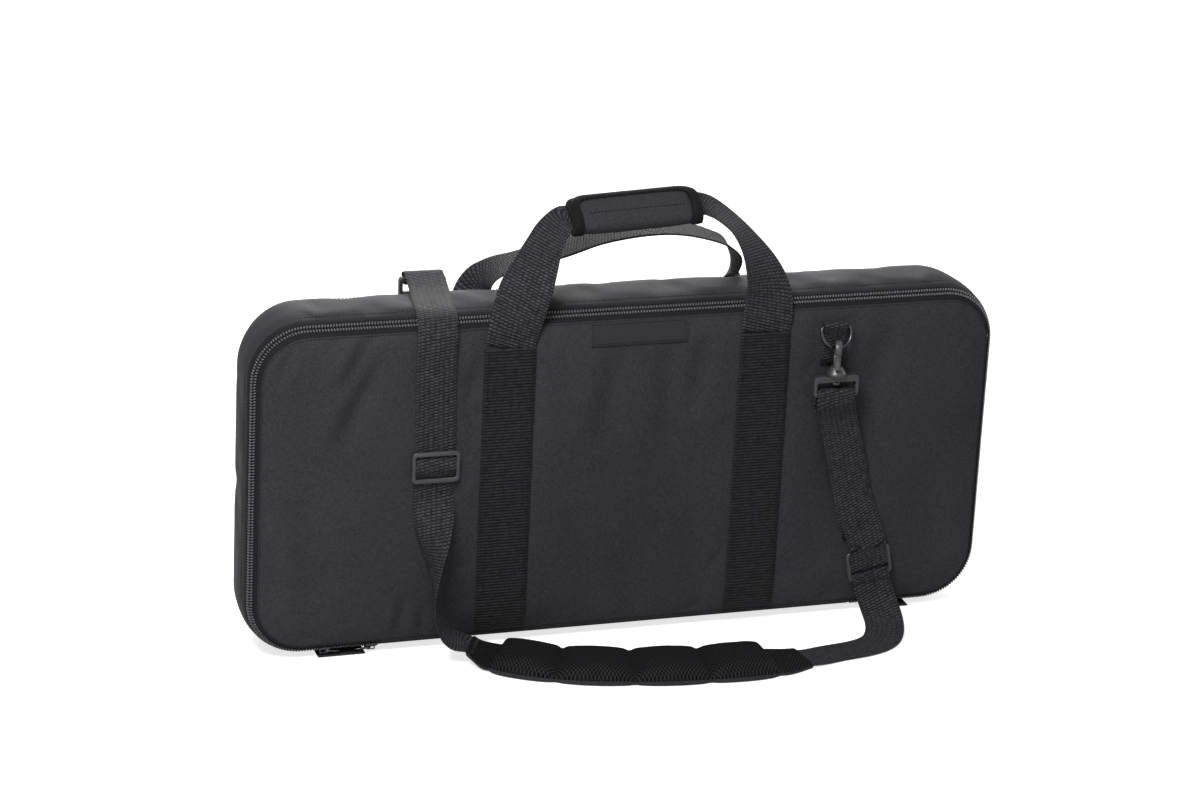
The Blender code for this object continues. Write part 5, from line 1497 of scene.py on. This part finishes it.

# %% [markdown]
# ## Strap runs
#
# The two lower runs hang between the slides and the pad. They belong to the lid at one end and to
# the floor at the other; they ride on no body and stay where they are built, as does the run over the top.

# %% Strap pieces
STRAP_WIDTH = 0.038
STRAP_THICK = 0.0015
floor_z = STRAP_THICK / 2 + 0.0002
start_point, start_across, start_ahead = stations[0][:3]
end_point, end_across, end_ahead = stations[-1][:3]
raise_z = Vector((0.0, 0.0, 1.0))
left_lower = [
    *left_weave[-3:],
    (off_lid(LEFT_X - 0.0003, 0.0026, LEFT_Z - 0.033), ACROSS_X),
    (off_lid(LEFT_X - 0.0023, 0.0122, LEFT_Z - 0.049), (0.86, -0.50, 0.0)),
    (off_lid(LEFT_X - 0.0043, 0.0204, LEFT_Z - 0.069), (0.55, -0.83, 0.0)),
    (off_lid(LEFT_X - 0.0048, 0.0224, LEFT_Z - 0.089), (0.20, -0.98, 0.0)),
    (off_lid(LEFT_X - 0.0013, 0.0226, 0.066), (-0.30, -0.95, 0.0)),
    (off_lid(LEFT_X + 0.0050, 0.0205, 0.039), (-0.40, -0.90, -0.10)),
    (off_lid(LEFT_X + 0.0155, 0.0200, 0.0225), (-0.44, -0.90, -0.05)),
    (start_point - start_ahead * 0.005 + raise_z * (0.0045 + pad_lift(0.0)), -start_across),
    (start_point + start_ahead * 0.006 + raise_z * (0.0025 + pad_lift(0.1)), -start_across),
]
right_lower = [
    *right_weave[-3:],
    (at_depth(RIGHT_X + 0.0085, -0.0230, 0.020), (0.98, -0.12, 0.16)),
    (at_depth(RIGHT_X + 0.0095, -0.0400, 0.0065), (0.90, -0.42, 0.06)),
    (at_depth(RIGHT_X + 0.0015, -0.0620, 0.0026), (0.68, -0.73, 0.0)),
    (at_depth(RIGHT_X - 0.0115, -0.0790, floor_z), (0.36, -0.93, 0.0)),
    (at_depth(RIGHT_X - 0.0335, -0.0900, floor_z), (0.08, -1.0, 0.0)),
    (at_depth(end_point.x + 0.032, -0.0960, floor_z), (0.0, -1.0, 0.0)),
    (end_point + end_ahead * 0.010 + raise_z * 0.0018, -end_across),
    (end_point - end_ahead * 0.006 + raise_z * 0.0025, -end_across),
]


def strap(name, keys, steps, spread):
    """A strap run. spread is the body it rides on; given as two bodies and two points instead, the run rides
    on no body.
    """
    piece, rows = webbing(name + "_webbing", keys, STRAP_WIDTH, STRAP_THICK, steps)
    if isinstance(spread, str):
        hand_over(piece, spread, "webbing", name)
    else:
        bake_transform(piece)
        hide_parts(name)
        made.append(piece.name)
    print(name, "length", round(rows[-1][3], 3), "m")
    return rows


right_rows = strap("strap_right_upper", right_upper, 4, "lid")
strap("strap_left_upper", left_upper, 4, ("case", "lid", (-0.178, 0.050, 0.340), (-0.197, -0.060, 0.205)))
strap("strap_left_lower", left_lower, 8, ("lid", "case", (-0.197, -0.060, 0.150), (-0.165, -0.080, 0.004)))
strap("strap_right_lower", right_lower, 8, ("lid", "case", (0.257, -0.066, 0.030), (0.237, -0.127, 0.001)))
total = right_rows[-1][3]
side = 1 if right_rows[-40][2].y < 0 else -1
sewn_at = total - 0.054
sew(
    "strap_end_stitches", right_rows,
    [[(-0.016, sewn_at), (0.016, sewn_at)], [(-0.016, sewn_at - 0.005), (0.016, sewn_at - 0.005)]],
    side, STRAP_THICK, "lid"
)

# %% Zip end tabs
for hand, sign in (("left", -1), ("right", 1)):
    keys = [
        (at_depth(sign * 0.279, depth, z), ACROSS_X)
        for depth, z in ((0.0165, 0.00134), (0.0130, 0.0009), (0.0090, 0.0006), (0.0010, 0.0006))
    ]
    piece, rows = webbing("zip_tab_" + hand + "_webbing", keys, 0.046, 0.0010, 3)
    hand_over(piece, "case", "webbing", "zip_end_tab_" + hand)
print("tabs sewn under both zip ends")

# %% [markdown]
# ## Moulded and plated hardware
#
# Hooks, frames, gates, slides, rings and zip sliders keep the shape of their solids. A copy is
# merged and its edges are rounded, so that they catch the light the way moulded and bent parts do.

# %% Hardware


def rounded_copy(node, edge, material, body, slot, wire=False):
    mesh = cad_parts[node].data.copy()
    shape = bmesh.new()
    shape.from_mesh(mesh)
    bmesh.ops.remove_doubles(shape, verts=shape.verts, dist=0.00001)
    bmesh.ops.dissolve_limit(shape, angle_limit=math.radians(2), verts=shape.verts, edges=shape.edges)
    bmesh.ops.recalc_face_normals(shape, faces=shape.faces)
    shape.to_mesh(mesh)
    shape.free()
    mesh.materials.clear()
    mesh.materials.append(material)
    piece = bpy.data.objects.new(node + "_finished", mesh)
    bpy.context.scene.collection.objects.link(piece)
    if wire:
        round_off(piece, 2)
    else:
        bevel = piece.modifiers.new("edge", "BEVEL")
        bevel.width = edge
        bevel.segments = 3
        bevel.limit_method = "ANGLE"
        bevel.angle_limit = math.radians(28)
        bevel.use_clamp_overlap = True
        bake_modifiers(piece)
    piece.data.shade_smooth()
    if not wire:
        piece.data.set_sharp_from_angle(angle=math.radians(50))
    return hand_over(piece, body, slot, node)


for word, body in (("front", "lid"), ("back", "case")):
    rounded_copy(word + "_hook", 0.0008, acetal, body, "plastic")
    rounded_copy(word + "_hook_frame", 0.0011, acetal, body, "plastic")
    rounded_copy(word + "_hook_gate", 0.0004, acetal, word + "_gate", "plastic")
    rounded_copy(word + "_ring", 0.0, nickel, body, "metal", wire=True)
for hand in ("left", "right"):
    rounded_copy("slide_" + hand, 0.0009, acetal, "lid", "plastic")
    rounded_copy("zip_slider_" + hand, 0.0003, nickel, hand + "_slider", "metal")
    rounded_copy("zip_pull_" + hand, 0.0, nickel, hand + "_pull", "metal", wire=True)
print("pieces", len(made))

# %% [markdown]
# ## Inside
#
# The lining is a thin taffeta over foam. Only the lining shows when the lid opens, and the foam's
# edges are wrapped in the same cloth.

# %% Inside finishes
INSIDE = {lining_cloth: ("case_lining", "lid_lining"), foam_skin: ("gusset_foam", "back_foam", "lid_foam")}
for finish, nodes in INSIDE.items():
    for node in nodes:
        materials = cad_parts[node].data.materials
        materials.clear()
        materials.append(finish)
